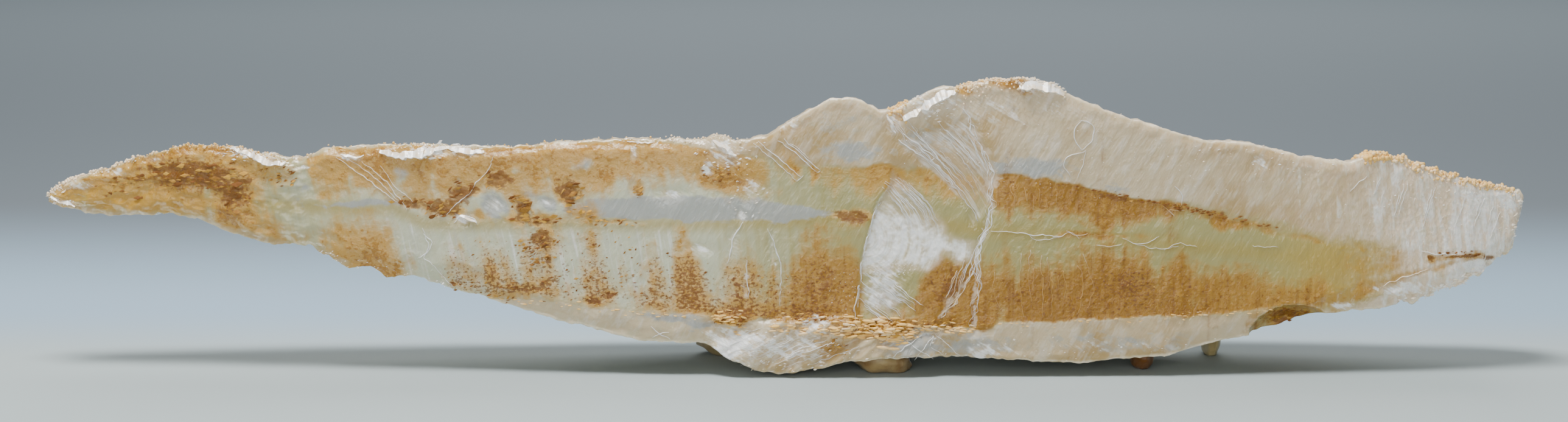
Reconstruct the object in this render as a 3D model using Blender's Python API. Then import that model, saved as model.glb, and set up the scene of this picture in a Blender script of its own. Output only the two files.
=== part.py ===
"""Selenite crystal blade: one natural gypsum crystal, standing on the knobs of its long lower edge.

The front (-Y) is a flat cleavage face with a shallow scar where a flake has come away. The back (+Y) keeps
its bevelled growth faces. The -X end is a thin point and the +X end is a snapped butt.
Units are metres, +Z is up, and the origin is the middle of the ground under the blade.
"""

import bmesh
import bpy
import numpy as np
from mathutils import Matrix, Vector, noise

MM = 0.001

# Driving dimensions. The outlines below are drawn in millimetres for a blade of DRAWN_LENGTH.
LENGTH = 381 * MM
THICKNESS = 42 * MM
DRAWN_LENGTH = 381.0
UNIT = LENGTH / DRAWN_LENGTH
FRONT_Y = -THICKNESS / 2

# The blade's outline seen from the front: (x, z) along the upper edge and along the lower edge.
UPPER_EDGE = (
    (-190.5, 45.4), (-186.5, 48.5), (-175.0, 52.5), (-166.0, 55.5), (-153.0, 59.0), (-137.0, 58.0),
    (-134.0, 56.5), (-123.5, 55.5), (-118.0, 58.0), (-102.5, 59.5), (-69.5, 59.0), (-42.0, 61.0),
    (-20.5, 61.0), (-18.0, 62.0), (-12.5, 60.5), (-4.5, 62.0), (3.5, 67.0), (11.5, 71.5), (17.5, 72.0),
    (24.5, 68.5), (28.0, 68.5), (37.5, 74.0), (42.5, 75.0), (43.5, 74.0), (51.5, 76.0), (62.5, 76.5),
    (68.5, 75.0), (71.0, 73.0), (83.0, 68.0), (105.5, 61.0), (119.0, 60.0), (132.0, 56.5), (144.0, 55.0),
    (151.0, 57.5), (162.0, 54.0), (177.5, 49.0), (188.0, 47.0), (190.5, 45.6),
)
LOWER_EDGE = (
    (-190.5, 43.4), (-188.0, 42.4), (-180.0, 41.0), (-168.0, 40.0), (-158.0, 41.0), (-149.5, 39.5),
    (-144.0, 36.5), (-133.0, 33.5), (-121.5, 33.0), (-112.5, 27.5), (-106.0, 27.5), (-102.0, 25.0),
    (-95.5, 25.5), (-84.0, 22.0), (-72.0, 18.5), (-58.5, 14.5), (-36.0, 9.0), (-20.0, 8.5), (-14.0, 5.0),
    (-7.5, 2.0), (-1.0, 1.0), (9.5, 2.0), (15.5, 3.0), (32.0, 3.5), (45.0, 5.0), (69.5, 4.0), (76.0, 3.5),
    (89.5, 5.0), (98.5, 5.5), (108.5, 8.5), (118.5, 10.5), (128.5, 12.0), (138.5, 16.0), (151.5, 17.0),
    (161.5, 18.5), (172.5, 22.5), (182.0, 27.0), (186.0, 31.5), (188.5, 36.0), (189.5, 41.0), (190.5, 42.8),
)
# The greatest thickness at points along the length: (x, thickness).
THICKNESS_ALONG = (
    (-190.5, 3.5), (-180.0, 11.0), (-150.0, 19.0), (-110.0, 27.0), (-60.0, 35.0), (-10.0, 41.0),
    (30.0, 42.0), (100.0, 42.0), (140.0, 36.0), (175.0, 27.0), (187.0, 20.0), (190.5, 15.0),
)
# The long growth faces of the back run between even lines, which the broken edges above and below cut short.
GROWN_UPPER = ((-190.5, 50.0), (-150.0, 58.0), (-40.0, 63.0), (35.0, 75.0), (65.0, 75.0), (190.5, 49.0))
GROWN_LOWER = ((-190.5, 43.0), (-120.0, 30.0), (-15.0, 3.0), (85.0, 3.0), (150.0, 16.0), (190.5, 32.0))
# The same faces as (share of the height, share of the thickness), bottom to top.
BACK_PROFILE = ((0.0, 0.74), (0.09, 0.93), (0.20, 1.0), (0.40, 1.0), (0.60, 0.82), (0.80, 0.55), (1.0, 0.30))
FRONT_SHARES = (0.0, 0.05, 0.13, 0.26, 0.40, 0.54, 0.68, 0.80, 0.90, 0.96, 1.0)
DEEPEST_SHARE = 0.24  # no dent in the front takes more than this share of the thickness
EDGE_CROWN = 0.8  # how far the narrow upper and lower faces bulge past the corners
STATION_STEP = 4.2  # sections along the blade, with one at each corner of the outlines too
CLOSEST_STATIONS = 1.2
GROWTH_RELIEF = 0.7  # unevenness of the growth faces, in streaks along the blade
KNOB_RELIEF = 0.14  # the same on the knobs, as a share of their size

# Chamfers of the cleavage face at the upper and the lower edge: (x, depth, width).
UPPER_CHAMFER = ((-190.5, 1.0, 2.0), (-120.0, 2.2, 3.5), (-20.0, 2.2, 3.5), (5.0, 0.7, 1.5), (190.5, 1.2, 2.5))
LOWER_CHAMFER = ((-190.5, 1.0, 2.5), (-60.0, 2.0, 7.0), (-14.0, 0.5, 5.0), (60.0, 0.5, 4.0), (190.5, 2.0, 6.0))
SCAR_CENTRE, SCAR_RADII, SCAR_DEPTH = (33.0, 32.0), (19.0, 27.0), 1.6
SCOOP_CENTRE, SCOOP_RADII, SCOOP_DEPTH = (130.5, 9.5), (11.5, 9.0), 9.0
LIP_CENTRE, LIP_RADII, LIP_RISE = (9.0, 4.0), (30.0, 12.0), 2.5

# Knobs under the lower edge that the blade stands on: (x, depth behind the front, z), radii.
KNOBS = (
    ((24.5, 9.5, 3.5), (7.8, 6.8, 4.8)),
    ((91.5, 17.5, 4.3), (4.4, 5.6, 5.3)),
    ((110.5, 31.5, 7.0), (4.9, 8.0, 8.3)),
    ((-12.0, 31.0, 6.6), (12.0, 8.5, 8.3)),
)
GROUND_CUT = 20.0  # how far below the ground the cutter reaches


def clear_scene():
    for item in list(bpy.data.objects):
        bpy.data.objects.remove(item)


def collection(name):
    made = bpy.data.collections.new(name)
    bpy.context.scene.collection.children.link(made)
    return made


def move_to(item, target):
    for holder in list(item.users_collection):
        holder.objects.unlink(item)
    target.objects.link(item)


def along(table, x, column=1):
    """The table's value at x, on straight runs between its rows."""
    rows = np.array(table)
    return float(np.interp(x, rows[:, 0], rows[:, column]))


def bump(x, z, centre, radii):
    """1 at the centre of an ellipse, falling smoothly to 0 at its rim."""
    reach = ((x - centre[0]) / radii[0]) ** 2 + ((z - centre[1]) / radii[1]) ** 2
    return max(0.0, 1.0 - reach) ** 0.5


def front_depth(x, z):
    """How far the front lies behind the cleavage plane: chamfers, the scar, the scoop and the lip."""
    depth = 0.0
    for table, gap in ((UPPER_CHAMFER, along(UPPER_EDGE, x) - z), (LOWER_CHAMFER, z - along(LOWER_EDGE, x))):
        most, width = along(table, x, 1), along(table, x, 2)
        depth += most * max(0.0, 1.0 - gap / width)
    depth += SCAR_DEPTH * bump(x, z, SCAR_CENTRE, SCAR_RADII)
    depth += SCOOP_DEPTH * bump(x, z, SCOOP_CENTRE, SCOOP_RADII)
    return depth - LIP_RISE * bump(x, z, LIP_CENTRE, LIP_RADII)


def back_points(x, low, high):
    """(height, share of the thickness) down the back at x, kept between the broken edges low and high."""
    grown_low, grown_high = along(GROWN_LOWER, x), along(GROWN_UPPER, x)
    shares, fullness = np.array(BACK_PROFILE).T
    room = np.linspace(0.0, 0.3 * (high - low), len(shares))
    heights = np.clip(grown_low + shares * (grown_high - grown_low), low + room, high - room[::-1])
    heights[0], heights[-1] = low, high
    return list(zip(heights, np.interp((heights - grown_low) / (grown_high - grown_low), shares, fullness)))


def section(x):
    """The closed ring of points round the blade at x: up the front, over the top, down the back, under."""
    low, high = along(LOWER_EDGE, x), along(UPPER_EDGE, x)
    thick = along(THICKNESS_ALONG, x)
    front = (FRONT_Y / UNIT) + (THICKNESS / UNIT - thick) * 0.35
    ring = []
    for share in FRONT_SHARES:
        z = low + share * (high - low)
        ring.append((front + min(front_depth(x, z), DEEPEST_SHARE * thick), z))
    for z, fullness in reversed(back_points(x, low, high)):
        rough = GROWTH_RELIEF * noise.noise(Vector((x / 30, z / 6, 3.0))) * min(1.0, thick / 20)
        ring.append((front + thick * fullness + rough, z))
    crown = min(EDGE_CROWN, 0.2 * (high - low))
    top_y = (ring[len(FRONT_SHARES) - 1][0] + ring[len(FRONT_SHARES)][0]) / 2
    ring.insert(len(FRONT_SHARES), (top_y, high + 0.3 * crown))
    ring.append(((ring[0][0] + ring[-1][0]) / 2, low - 0.3 * crown))
    return [Vector((x, y, z)) * UNIT for y, z in ring]


def stations():
    """Where the sections stand along the blade: evenly, and at each corner of the two outlines."""
    ends = UPPER_EDGE[0][0], UPPER_EDGE[-1][0]
    even = np.arange(ends[0], ends[1], STATION_STEP)
    corners = [x for x, _ in UPPER_EDGE + LOWER_EDGE]
    kept = [ends[0]]
    for x in sorted({*even, *corners}):
        if x - kept[-1] >= CLOSEST_STATIONS and ends[1] - x >= CLOSEST_STATIONS:
            kept.append(float(x))
    return kept + [ends[1]]


def make_blade(target):
    """The crystal itself: a loft through unlike sections, closed by a fan at both ends."""
    shape = bmesh.new()
    rings = [[shape.verts.new(point) for point in section(x)] for x in stations()]
    count = len(rings[0])
    for near, far in zip(rings, rings[1:]):
        for i in range(count):
            j = (i + 1) % count
            shape.faces.new((near[i], near[j], far[j], far[i]))
    for ring in (rings[0], rings[-1]):
        middle = shape.verts.new(sum((corner.co for corner in ring), Vector()) / count)
        for i in range(count):
            shape.faces.new((ring[i], ring[(i + 1) % count], middle))
    bmesh.ops.triangulate(shape, faces=shape.faces[:])
    bmesh.ops.recalc_face_normals(shape, faces=shape.faces[:])
    mesh = bpy.data.meshes.new("selenite_blade")
    shape.to_mesh(mesh)
    shape.free()
    blade = bpy.data.objects.new("selenite_blade", mesh)
    target.objects.link(blade)
    return blade


def make_knob(number, centre, radii, helpers):
    """A small crystal lump under the lower edge, reaching just below the ground until it is cut flat."""
    bpy.ops.mesh.primitive_ico_sphere_add(subdivisions=2, radius=1.0)
    knob = bpy.context.object
    knob.name = f"knob_{number}"
    middle = Vector((centre[0] * UNIT, FRONT_Y + centre[1] * UNIT, centre[2] * UNIT))
    for corner in knob.data.vertices:
        corner.co *= 1 + KNOB_RELIEF * noise.noise(1.6 * corner.co + Vector((0, 0, number)))
    knob.data.transform(Matrix.LocRotScale(middle, None, Vector(radii) * UNIT))
    move_to(knob, helpers)
    hide(knob)
    return knob


def make_ground(helpers):
    """A block under the ground, which cuts the knobs flat where the blade rests."""
    bpy.ops.mesh.primitive_cube_add(size=1.0)
    ground = bpy.context.object
    ground.name = "ground_cutter"
    deep = GROUND_CUT * UNIT
    size = Vector((1.2 * LENGTH, 2 * THICKNESS, deep))
    ground.data.transform(Matrix.LocRotScale(Vector((0, 0, -deep / 2)), None, size))
    move_to(ground, helpers)
    hide(ground)
    return ground


def hide(helper):
    helper.hide_render = True
    helper.display_type = "WIRE"


def add_boolean(blade, helper, operation):
    modifier = blade.modifiers.new(f"{operation.lower()}_{helper.name}", "BOOLEAN")
    modifier.operation = operation
    modifier.solver = "EXACT"
    modifier.object = helper


def selenite():
    """Milky gypsum: pale, fairly smooth, and partly see-through."""
    material = bpy.data.materials.new("selenite")
    material.use_nodes = True
    shader = material.node_tree.nodes["Principled BSDF"]
    shader.inputs["Base Color"].default_value = (0.66, 0.58, 0.46, 1.0)
    shader.inputs["Roughness"].default_value = 0.3
    shader.inputs["Metallic"].default_value = 0.0
    shader.inputs["IOR"].default_value = 1.52
    shader.inputs["Transmission Weight"].default_value = 0.4
    return material


def main():
    clear_scene()
    parts, helpers = collection("selenite crystal blade"), collection("cutters")
    blade = make_blade(parts)
    for number, (centre, radii) in enumerate(KNOBS, 1):
        add_boolean(blade, make_knob(number, centre, radii, helpers), "UNION")
    add_boolean(blade, make_ground(helpers), "DIFFERENCE")
    blade.data.materials.append(selenite())
    blade.data.shade_smooth()
    blade.data.set_sharp_from_angle(angle=np.radians(30))


main()
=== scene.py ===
"""Looks of the selenite crystal blade: its fine surface, what is sealed in it, what sits on it, and the
stage.

Shapes are worked out in millimetres and put into meshes in metres. X runs along the blade, Z is up, and the
cleaved front face looks towards -Y. A spot on the front face is given as (x, z).
"""

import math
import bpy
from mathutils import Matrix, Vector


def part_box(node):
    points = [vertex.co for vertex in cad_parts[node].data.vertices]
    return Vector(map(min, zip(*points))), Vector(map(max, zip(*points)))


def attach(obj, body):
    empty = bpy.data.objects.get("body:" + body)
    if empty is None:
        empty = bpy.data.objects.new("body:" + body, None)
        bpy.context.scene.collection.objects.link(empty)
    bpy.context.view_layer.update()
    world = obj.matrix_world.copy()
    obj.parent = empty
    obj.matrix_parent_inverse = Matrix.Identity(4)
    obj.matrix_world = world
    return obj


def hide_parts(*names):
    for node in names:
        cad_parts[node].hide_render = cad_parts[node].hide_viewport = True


bl_info = {
    "name": "Selenite crystal blade",
    "version": (1, 0, 0),
    "blender": (4, 5, 0),
    "location": "3D View > Sidebar > Selenite",
    "description": "Makes a selenite crystal blade's fine surface, sealed clay, cracks and stage",
    "category": "Object",
}

import bpy
import numpy as np
from bpy.props import FloatProperty, FloatVectorProperty, IntProperty, PointerProperty
from bpy.types import Operator, Panel, PropertyGroup
from mathutils import Vector

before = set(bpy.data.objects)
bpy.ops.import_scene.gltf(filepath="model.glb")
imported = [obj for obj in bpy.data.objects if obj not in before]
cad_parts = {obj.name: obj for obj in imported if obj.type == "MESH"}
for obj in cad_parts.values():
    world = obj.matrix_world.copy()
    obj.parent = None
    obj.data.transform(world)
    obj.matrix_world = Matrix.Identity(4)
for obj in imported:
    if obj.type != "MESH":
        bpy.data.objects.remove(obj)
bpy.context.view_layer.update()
LOW, HIGH = (np.array(corner) * 1000 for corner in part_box("selenite_blade"))

MM = 0.001
LENGTH = HIGH[0] - LOW[0]
THICKNESS = 42.0
FRONT_Y = -THICKNESS / 2
BODY = "root"
NODE = "selenite_blade"

# --------------------------------------------------------------------------------------------------
# The outline and the relief, in mm
# --------------------------------------------------------------------------------------------------

# Outline seen from the front: (x, z) along the upper edge and along the lower edge.
UPPER_EDGE = np.array((
    (-190.5, 45.4), (-186.5, 48.5), (-175, 52.5), (-166, 55.5), (-153, 59), (-137, 58), (-134, 56.5),
    (-123.5, 55.5), (-118, 58), (-102.5, 59.5), (-69.5, 59), (-42, 61), (-20.5, 61), (-18, 62),
    (-12.5, 60.5), (-4.5, 62), (3.5, 67), (11.5, 71.5), (17.5, 72), (24.5, 68.5), (28, 68.5), (37.5, 74),
    (42.5, 75), (43.5, 74), (51.5, 76), (62.5, 76.5), (68.5, 75), (71, 73), (83, 68), (105.5, 61),
    (119, 60), (132, 56.5), (144, 55), (151, 57.5), (162, 54), (177.5, 49), (188, 47), (190.5, 45.6),
))
LOWER_EDGE = np.array((
    (-190.5, 43.4), (-188, 42.4), (-180, 41), (-168, 40), (-158, 41), (-149.5, 39.5), (-144, 36.5),
    (-133, 33.5), (-121.5, 33), (-112.5, 27.5), (-106, 27.5), (-102, 25), (-95.5, 25.5), (-84, 22),
    (-72, 18.5), (-58.5, 14.5), (-36, 9), (-20, 8.5), (-14, 5), (-7.5, 2), (-1, 1), (9.5, 2.6), (15.5, 4.2),
    (25, 5), (33, 5.4), (45, 5.4), (69.5, 4), (76, 3.5), (89.5, 5), (98.5, 5.5), (108.5, 8.5),
    (118.5, 10.5), (128.5, 12), (138.5, 16), (151.5, 17), (161.5, 18.5), (172.5, 22.5), (182.6, 27.6),
    (186, 30.4), (188.6, 33.6), (188.9, 38), (190.2, 40.5), (190.5, 42.8),
))
THICKNESS_ALONG = np.array((
    (-190.5, 3.5), (-180, 11), (-150, 19), (-110, 27), (-60, 35), (-10, 41), (30, 42), (100, 42), (140, 36),
    (175, 27), (187, 20), (190.5, 15),
))
# The unbroken edges that the back grew to, and the back's outline as (share of height, share of thickness).
GROWN_UPPER = np.array((
    (-190.5, 50), (-150, 58), (-40, 63), (35, 75), (65, 75), (190.5, 49),
))
GROWN_LOWER = np.array((
    (-190.5, 43), (-120, 30), (-15, 3), (85, 3), (150, 16), (190.5, 32),
))
BACK_PROFILE = np.array((
    (0.0, 0.74), (0.09, 0.93), (0.20, 1.0), (0.40, 1.0), (0.60, 0.82), (0.80, 0.55), (1.0, 0.30),
))
# Worn edges of the front face, as (x, depth, width).
UPPER_CHAMFER = np.array((
    (-190.5, 1, 2), (-120, 1.7, 2.6), (-20, 1.7, 2.6), (5, 0.35, 0.8), (190.5, 0.8, 2),
))
LOWER_CHAMFER = np.array((
    (-190.5, 1, 2.5), (-60, 1.4, 7), (-14, 0.3, 2), (60, 0.4, 3), (190.5, 2, 6),
))
# The scooped chip at the lower right and the lip at the lower middle, as centre (x, z), radii, and depth or
# rise.
SCOOP = ((130.5, 9.5), (11.5, 9.0), 9.0)
LIP = ((9.0, 4.0), (30.0, 12.0), 2.5)
# How crumbly the broken edges are, as (x, height of the crumbs).
CRUMBLY = np.array((
    (-190, 0.6), (-60, 0.5), (-30, 0.4), (140, 0.35), (155, 1.1), (180, 1.2), (186, 2.4),
))
# The most that the front may be cut back, and how far its plane is drawn back where the blade is thin, as
# shares of the thickness.
DEEPEST_SHARE = 0.24
DRAWN_BACK_SHARE = 0.35
# The lowest that anything but the lumps may reach, and that the lumps may.
LOWEST = 0.3
LUMP_FOOT = 0.1
# How finely the crystal is made: stations along X, and points up the front, over the top, between two rows
# down the back, and under.
STATIONS = 565
FRONT_POINTS = 101
TOP_POINTS = 7
BACK_SPAN_POINTS = 8
BOTTOM_POINTS = 13
# How many points a path is read at for the fine cracks of a fan and of a braid, and for a deep crack.
FAN_POINTS = 24
BRAID_POINTS = 60
DEEP_POINTS = 40
# Lumps under the blade, as centre (x, depth behind the front, z), radii, fall along X, and how spotted with
# clay. They are what it stands on.
KNOBS = (
    ((24.5, 9.5, 3.5), (8.2, 6.8, 4.8), -0.20, 0.42),
    ((93.2, 13.0, 3.6), (3.1, 5.6, 4.2), 0.0, 0.95),
    ((114.0, 31.5, 7.0), (2.7, 7.0, 8.3), 0.0, 0.05),
    ((-12.0, 31.0, 6.6), (12.0, 8.5, 8.3), 0.0, 0.30),
)
# Left edge of the flake scar as (z, x), and the centres that its ripples and the fan's streaks run round.
STEP_EDGE = np.array((
    (10.0, 17.6), (16.0, 18.3), (20.5, 18.6), (28.5, 19.5), (37.4, 21.6), (44.6, 23.6), (50.0, 27.0),
))
SCAR_CENTRE = (20.5, 36.0)
FAN_CENTRE = (15.0, 25.0)
# Outline of the scar's brightest part.
SCAR = np.array((
    (18.2, 26.5), (19.6, 37.4), (21.8, 45.5), (25.6, 53.6), (28.4, 53.4), (33.3, 49.4), (37.8, 44.9),
    (40.1, 40.3), (41.4, 37.4), (44.4, 36.4), (48.6, 35.6), (48.2, 32.4), (46.8, 30.4), (43.4, 29.4),
    (41.6, 32.2), (38.6, 29.4), (35.2, 28), (30.9, 28.4), (24.1, 27),
))

# --------------------------------------------------------------------------------------------------
# What shows in the crystal, on the front face, in mm
# --------------------------------------------------------------------------------------------------

# The phantom is the older, stained crystal: its upper and lower borders, and the seam down its middle.
PHANTOM_UPPER = np.array((
    (-190, 46), (-178, 51), (-160, 57), (-152, 59), (-137, 57.5), (-124, 55.2), (-117, 57.6), (-100, 58.8),
    (-69.5, 58.4), (-42, 60.2), (-25, 59.4), (-8, 56.5), (2, 54.3), (25, 54), (54, 52.3), (70, 50),
    (85, 47), (100, 44.5), (121, 39.6), (135, 35.6), (156, 32), (178, 30.4),
))
PHANTOM_LOWER = np.array((
    (-190, 44), (-170, 41.5), (-150, 41), (-135, 36), (-115, 31.5), (-104, 25), (-92, 22.5), (-77, 20),
    (-59, 19.8), (-38, 17.2), (-9, 15.4), (18, 14.2), (50, 12.6), (55, 14.2), (73, 15.3), (95, 16),
    (122, 17.5), (130, 19), (143, 18), (149, 20.7), (158, 24.3), (165, 26.9), (178, 30.2),
))
SEAM = np.array((
    (-190, 44.8), (-136, 43.8), (-113, 43), (-100, 43), (-92, 39.2), (-54, 39.4), (-20, 39.5), (12, 41),
    (30, 40.5), (52, 38), (72, 37), (92, 35.1), (121, 32), (136, 30.1), (158, 26.6), (178, 30),
))
# How many places are tried for flakes of clay sealed in the crystal.
CLAY_TRIES = 130000
# How far the clay reaches into the phantom from each border, as (x, reach, density).
UPPER_CLAY = np.array((
    (-190, 5, 0.5), (-170, 7, 0.75), (-155, 10, 1), (-139, 13, 1.05), (-131, 10, 0.9), (-126, 7, 0.7),
    (-121, 5, 0.2), (-117, 12, 1), (-110, 14, 1.1), (-106, 11, 1), (-100, 13, 1.1), (-93, 14, 1.1),
    (-86, 13, 1.1), (-80, 13, 1.1), (-73, 10, 1.1), (-66, 13, 1.15), (-60, 12, 1.1), (-55, 14, 1),
    (-51, 10, 0.9), (-45, 13, 1.05), (-39, 10, 0.8), (-34, 12, 1.05), (-30, 11, 1), (-25, 9, 0.85),
    (-19, 10, 1), (-12, 11, 1.1), (-6, 9, 0.7), (-2, 4, 0.4), (4, 3, 0.35), (10, 4, 0.5), (13, 8, 0.75),
    (16, 4, 0.5), (21, 8, 0.95), (26, 7, 0.9), (34, 6, 0.8), (41, 8, 0.75), (49, 8, 0.7), (57, 10, 0.95),
    (66, 10, 0.95), (74, 8, 0.95), (81, 10, 1.05), (88, 7, 1), (95, 5, 0.85), (101, 3, 0.6), (107, 2, 0.5),
    (111, 5, 0.8), (117, 2.5, 0.6), (128, 1.5, 0.4), (140, 1, 0.2), (178, 1, 0),
))
LOWER_CLAY = np.array((
    (-190, 5, 0.35), (-170, 5, 0.45), (-155, 5, 0.45), (-146, 5, 0.6), (-140, 8, 0.9), (-130, 7, 0.8),
    (-121, 5, 0.5), (-115, 10, 0.8), (-109, 14, 1.1), (-104, 16, 1.1), (-100, 15, 0.9), (-95, 9, 0.45),
    (-90, 12, 0.5), (-86, 16, 0.75), (-82, 10, 0.45), (-78, 16, 0.75), (-73, 16, 0.7), (-71, 6, 0.25),
    (-67, 14, 0.65), (-61, 14, 0.6), (-57, 5, 0.25), (-52, 18, 0.8), (-48, 15, 0.65), (-45, 7, 0.3),
    (-43, 15, 0.7), (-40, 5, 0.3), (-36, 19, 0.85), (-33, 17, 0.75), (-31, 8, 0.5), (-28, 20, 0.95),
    (-24, 19, 0.9), (-20, 7, 0.4), (-16, 18, 0.85), (-12, 18, 0.9), (-8, 16, 0.8), (-5, 10, 0.6),
    (-3, 16, 0.85), (0, 12, 0.7), (4, 19, 0.95), (8, 22, 1.05), (13, 21, 1.05), (18, 18, 1), (22, 8, 0.35),
    (33, 8, 0.4), (37, 16, 0.95), (46, 17, 1), (54, 16, 0.9), (60, 18, 1), (68, 16, 1.05), (76, 17, 1.05),
    (82, 19, 1.15), (88, 17, 1.15), (94, 14, 1), (98, 12, 0.85), (101, 15, 0.95), (106, 12, 0.95),
    (112, 11, 0.9), (120, 11, 0.85), (126, 8, 0.7), (134, 6, 0.5), (138, 8, 0.7), (143, 5, 0.45),
    (148, 5, 0.6), (154, 2, 0.4), (178, 1, 0.3),
))
# How deeply the clay stains the crystal amber, as (x, strength).
AMBER = np.array((
    (-30, 0.0), (0, 0.6), (55, 0.8), (70, 1.0), (96, 1.0), (110, 0.75), (130, 0.6), (150, 0.4),
))
# How pale the phantom is and how far its growth lines lean, as (x, amount).
PALE = np.array((
    (-190, 0.2), (-115, 0.45), (-95, 0.9), (-30, 0.85), (-8, 0.4), (20, 0.15), (60, 0.0),
))
LEAN = np.array(((-190, 0.1), (-75, 0.24), (-20, 0.12), (20, 0.0)))
# How the phantom ends at the right, as (x, how blurred its borders are) and (x, how far in a spot may
# count).
BLURRED = np.array(((85, 1.0), (150, 4.5)))
INSIDE_AT_MOST = np.array(((116, 6.0), (138, 0.7), (166, -1.2)))
# Where the edges are white, above and below, as (x, strength), and the worn rim as (x, width). Below, the
# white is wear. Above, it is wear and a painted highlight where the top edge catches the light, strongest
# along the fin from x 10 on.
WORN_AND_HIGHLIT_ABOVE = np.array(((-165, 0.8), (-140, 0.3), (-20, 0.15), (10, 1.0)))
WORN_BELOW = np.array(((-115, 0.3), (-100, 1.0), (-30, 1.0), (-15, 0.4), (60, 0.4), (75, 0.9)))
WORN_WIDTH = np.array(((-160, 3.0), (-135, 1.2)))
# The white vein along the main crack, as (z, half its width).
VEIN_WIDTH = np.array(((14, 0.7), (24, 1.0), (31, 0.7), (40, 1.0), (50, 1.6)))
# Blots, each as centre (x, z), radii and strength. Clay is sealed ochre mud, rust its dark brown places,
# frost is bruised white crystal, and haze is clear, bluish crystal. Some frost blots are painted highlights
# instead, where edges catch the light.
CLAY = (
    ((-171, 47), (13, 4), 0.35), ((-141, 46), (7, 5), 1.1), ((-143, 39), (4.5, 3), 0.8),
    ((-157, 47), (9, 4), 0.6), ((-128, 50), (5, 4), 0.4), ((-118, 46), (2, 1.5), 0.6),
    ((-95, 44.6), (5.5, 1.8), 1.2), ((-87, 42.8), (6.5, 2.8), 1.3), ((-82, 47.5), (4.5, 2.5), 1),
    ((-78, 41), (3.5, 1.5), 0.8), ((-74, 50), (3.5, 3.5), 0.8), ((-67, 44), (3.2, 3.5), 1.1),
    ((-64, 40.3), (9, 1.6), 1.1), ((-54, 47.5), (3.5, 4.5), 1.2), ((-51, 42), (5, 3), 0.9),
    ((-44, 40), (9, 0.8), 0.8), ((-37, 48), (2.2, 2), 0.95), ((-45, 52), (6, 4), 0.5),
    ((-61, 35.4), (6, 4), 1.1), ((-50, 36), (2.6, 4.5), 0.8), ((-26, 36), (1.6, 3.5), 0.7),
    ((-66, 22.5), (7, 1.6), 0.9), ((-84, 24), (1.8, 0.9), 1), ((-62, 25), (1.5, 1), 0.8),
    ((-44, 21), (2.6, 1.5), 0.9), ((-49, 19.5), (2.5, 0.9), 1), ((-16, 51), (7, 3.2), 0.95),
    ((-4, 48), (3, 3.5), 0.6), ((17.5, 41.8), (5.5, 2.4), 0.9), ((-8, 17), (13, 1.6), 1),
    ((4, 15.6), (8, 2.4), 1), ((2, 53.5), (1.2, 3), 0.8), ((7, 52.5), (0.9, 3.2), 0.9),
    ((-14, 14.5), (4.5, 1.1), 1.2), ((12, 8), (2.6, 3.2), 0.95), ((3, 6), (3.5, 1), 0.5),
    ((21, 12.3), (6.5, 2.4), 1.1), ((38, 14), (13, 1.2), 1), ((41, 23), (7.5, 7), 1.15),
    ((80, 36.6), (13, 0.8), 0.6), ((81, 40), (2.5, 3.5), 0.55), ((151, 28.5), (11, 3.4), 0.35),
    ((166, 30.4), (2.6, 1.1), 0.9), ((174, 31), (5.5, 0.9), 0.8), ((181.3, 29.8), (2.4, 0.9), 0.9),
    ((29.3, 67.2), (2.4, 1.6), 1.2), ((45.5, 74), (2.4, 1.2), 1.2), ((56.5, 75.4), (6, 1.4), 1.1),
    ((62, 74), (2.5, 1), 0.7), ((-110, 27.6), (5, 1.4), 0.9), ((-117, 30.5), (4, 1.2), 0.6),
    # The blot at (131, 14) is clay in the scoop, and its depth of colour is partly painted shade in the
    # hollow.
    ((-151, 58), (8, 1.5), 0.5), ((-1, 58), (7, 1.8), 0.35), ((131, 14), (10, 5.5), 1.1),
    ((111.5, 40.5), (3, 2.5), 0.4),
)
RUST = (
    ((-140, 45), (5, 3.5), 1), ((-148, 50), (7, 4.5), 1.1), ((-154, 53), (4, 2), 0.8),
    ((-165, 50.5), (2, 1), 1), ((-141, 50), (9, 1.2), 0.8), ((-94.6, 44.4), (3.6, 1.8), 1.25),
    ((-86, 43), (5.8, 2.8), 1.6), ((-82.4, 46.6), (4.2, 3), 1.5), ((-71.8, 50.2), (4.2, 2.8), 1.4),
    ((-67.2, 42.8), (3.6, 3.8), 1.35), ((-54, 47.7), (3, 4), 1.5), ((-62.5, 35.4), (5.6, 3.6), 1.2),
    ((-63, 39.6), (5.5, 1.6), 0.9), ((-13.5, 14.6), (4, 1.1), 1.35), ((9, 25), (6, 8), 0.5),
    ((-12, 22), (3, 6), 0.6), ((17.8, 41.8), (5.2, 2.2), 2.4), ((86, 24), (7, 8), 0.55),
    ((61, 20), (6, 7), 0.35), ((74, 21), (5, 6), 0.25), ((43, 24), (5, 8), 0.6), ((4, 16), (7, 1.5), 0.5),
    ((-154, 51.5), (12, 4.5), 1.2), ((-66, 22.5), (5, 1.2), 0.7), ((-84, 24), (1.5, 0.7), 1),
    ((-49, 19.5), (2, 0.8), 1), ((-44, 21), (2, 1.2), 0.8), ((84, 47), (6, 0.8), 0.9),
    ((73, 49.8), (4, 0.7), 0.8), ((111, 42.4), (3, 0.7), 0.8), ((174, 31), (5, 0.7), 1.6),
    ((165.5, 30.6), (2.4, 1.1), 1.3), ((181.3, 29.8), (2, 0.9), 1.6), ((-168, 50.2), (6, 0.6), 1.3),
    # The blot at (131, 14) is rust in the scoop, partly brown clay and partly painted shade in the hollow.
    ((131, 14), (9, 4.5), 1.2), ((-120, 50), (2.5, 1.5), 0.5),
)
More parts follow.
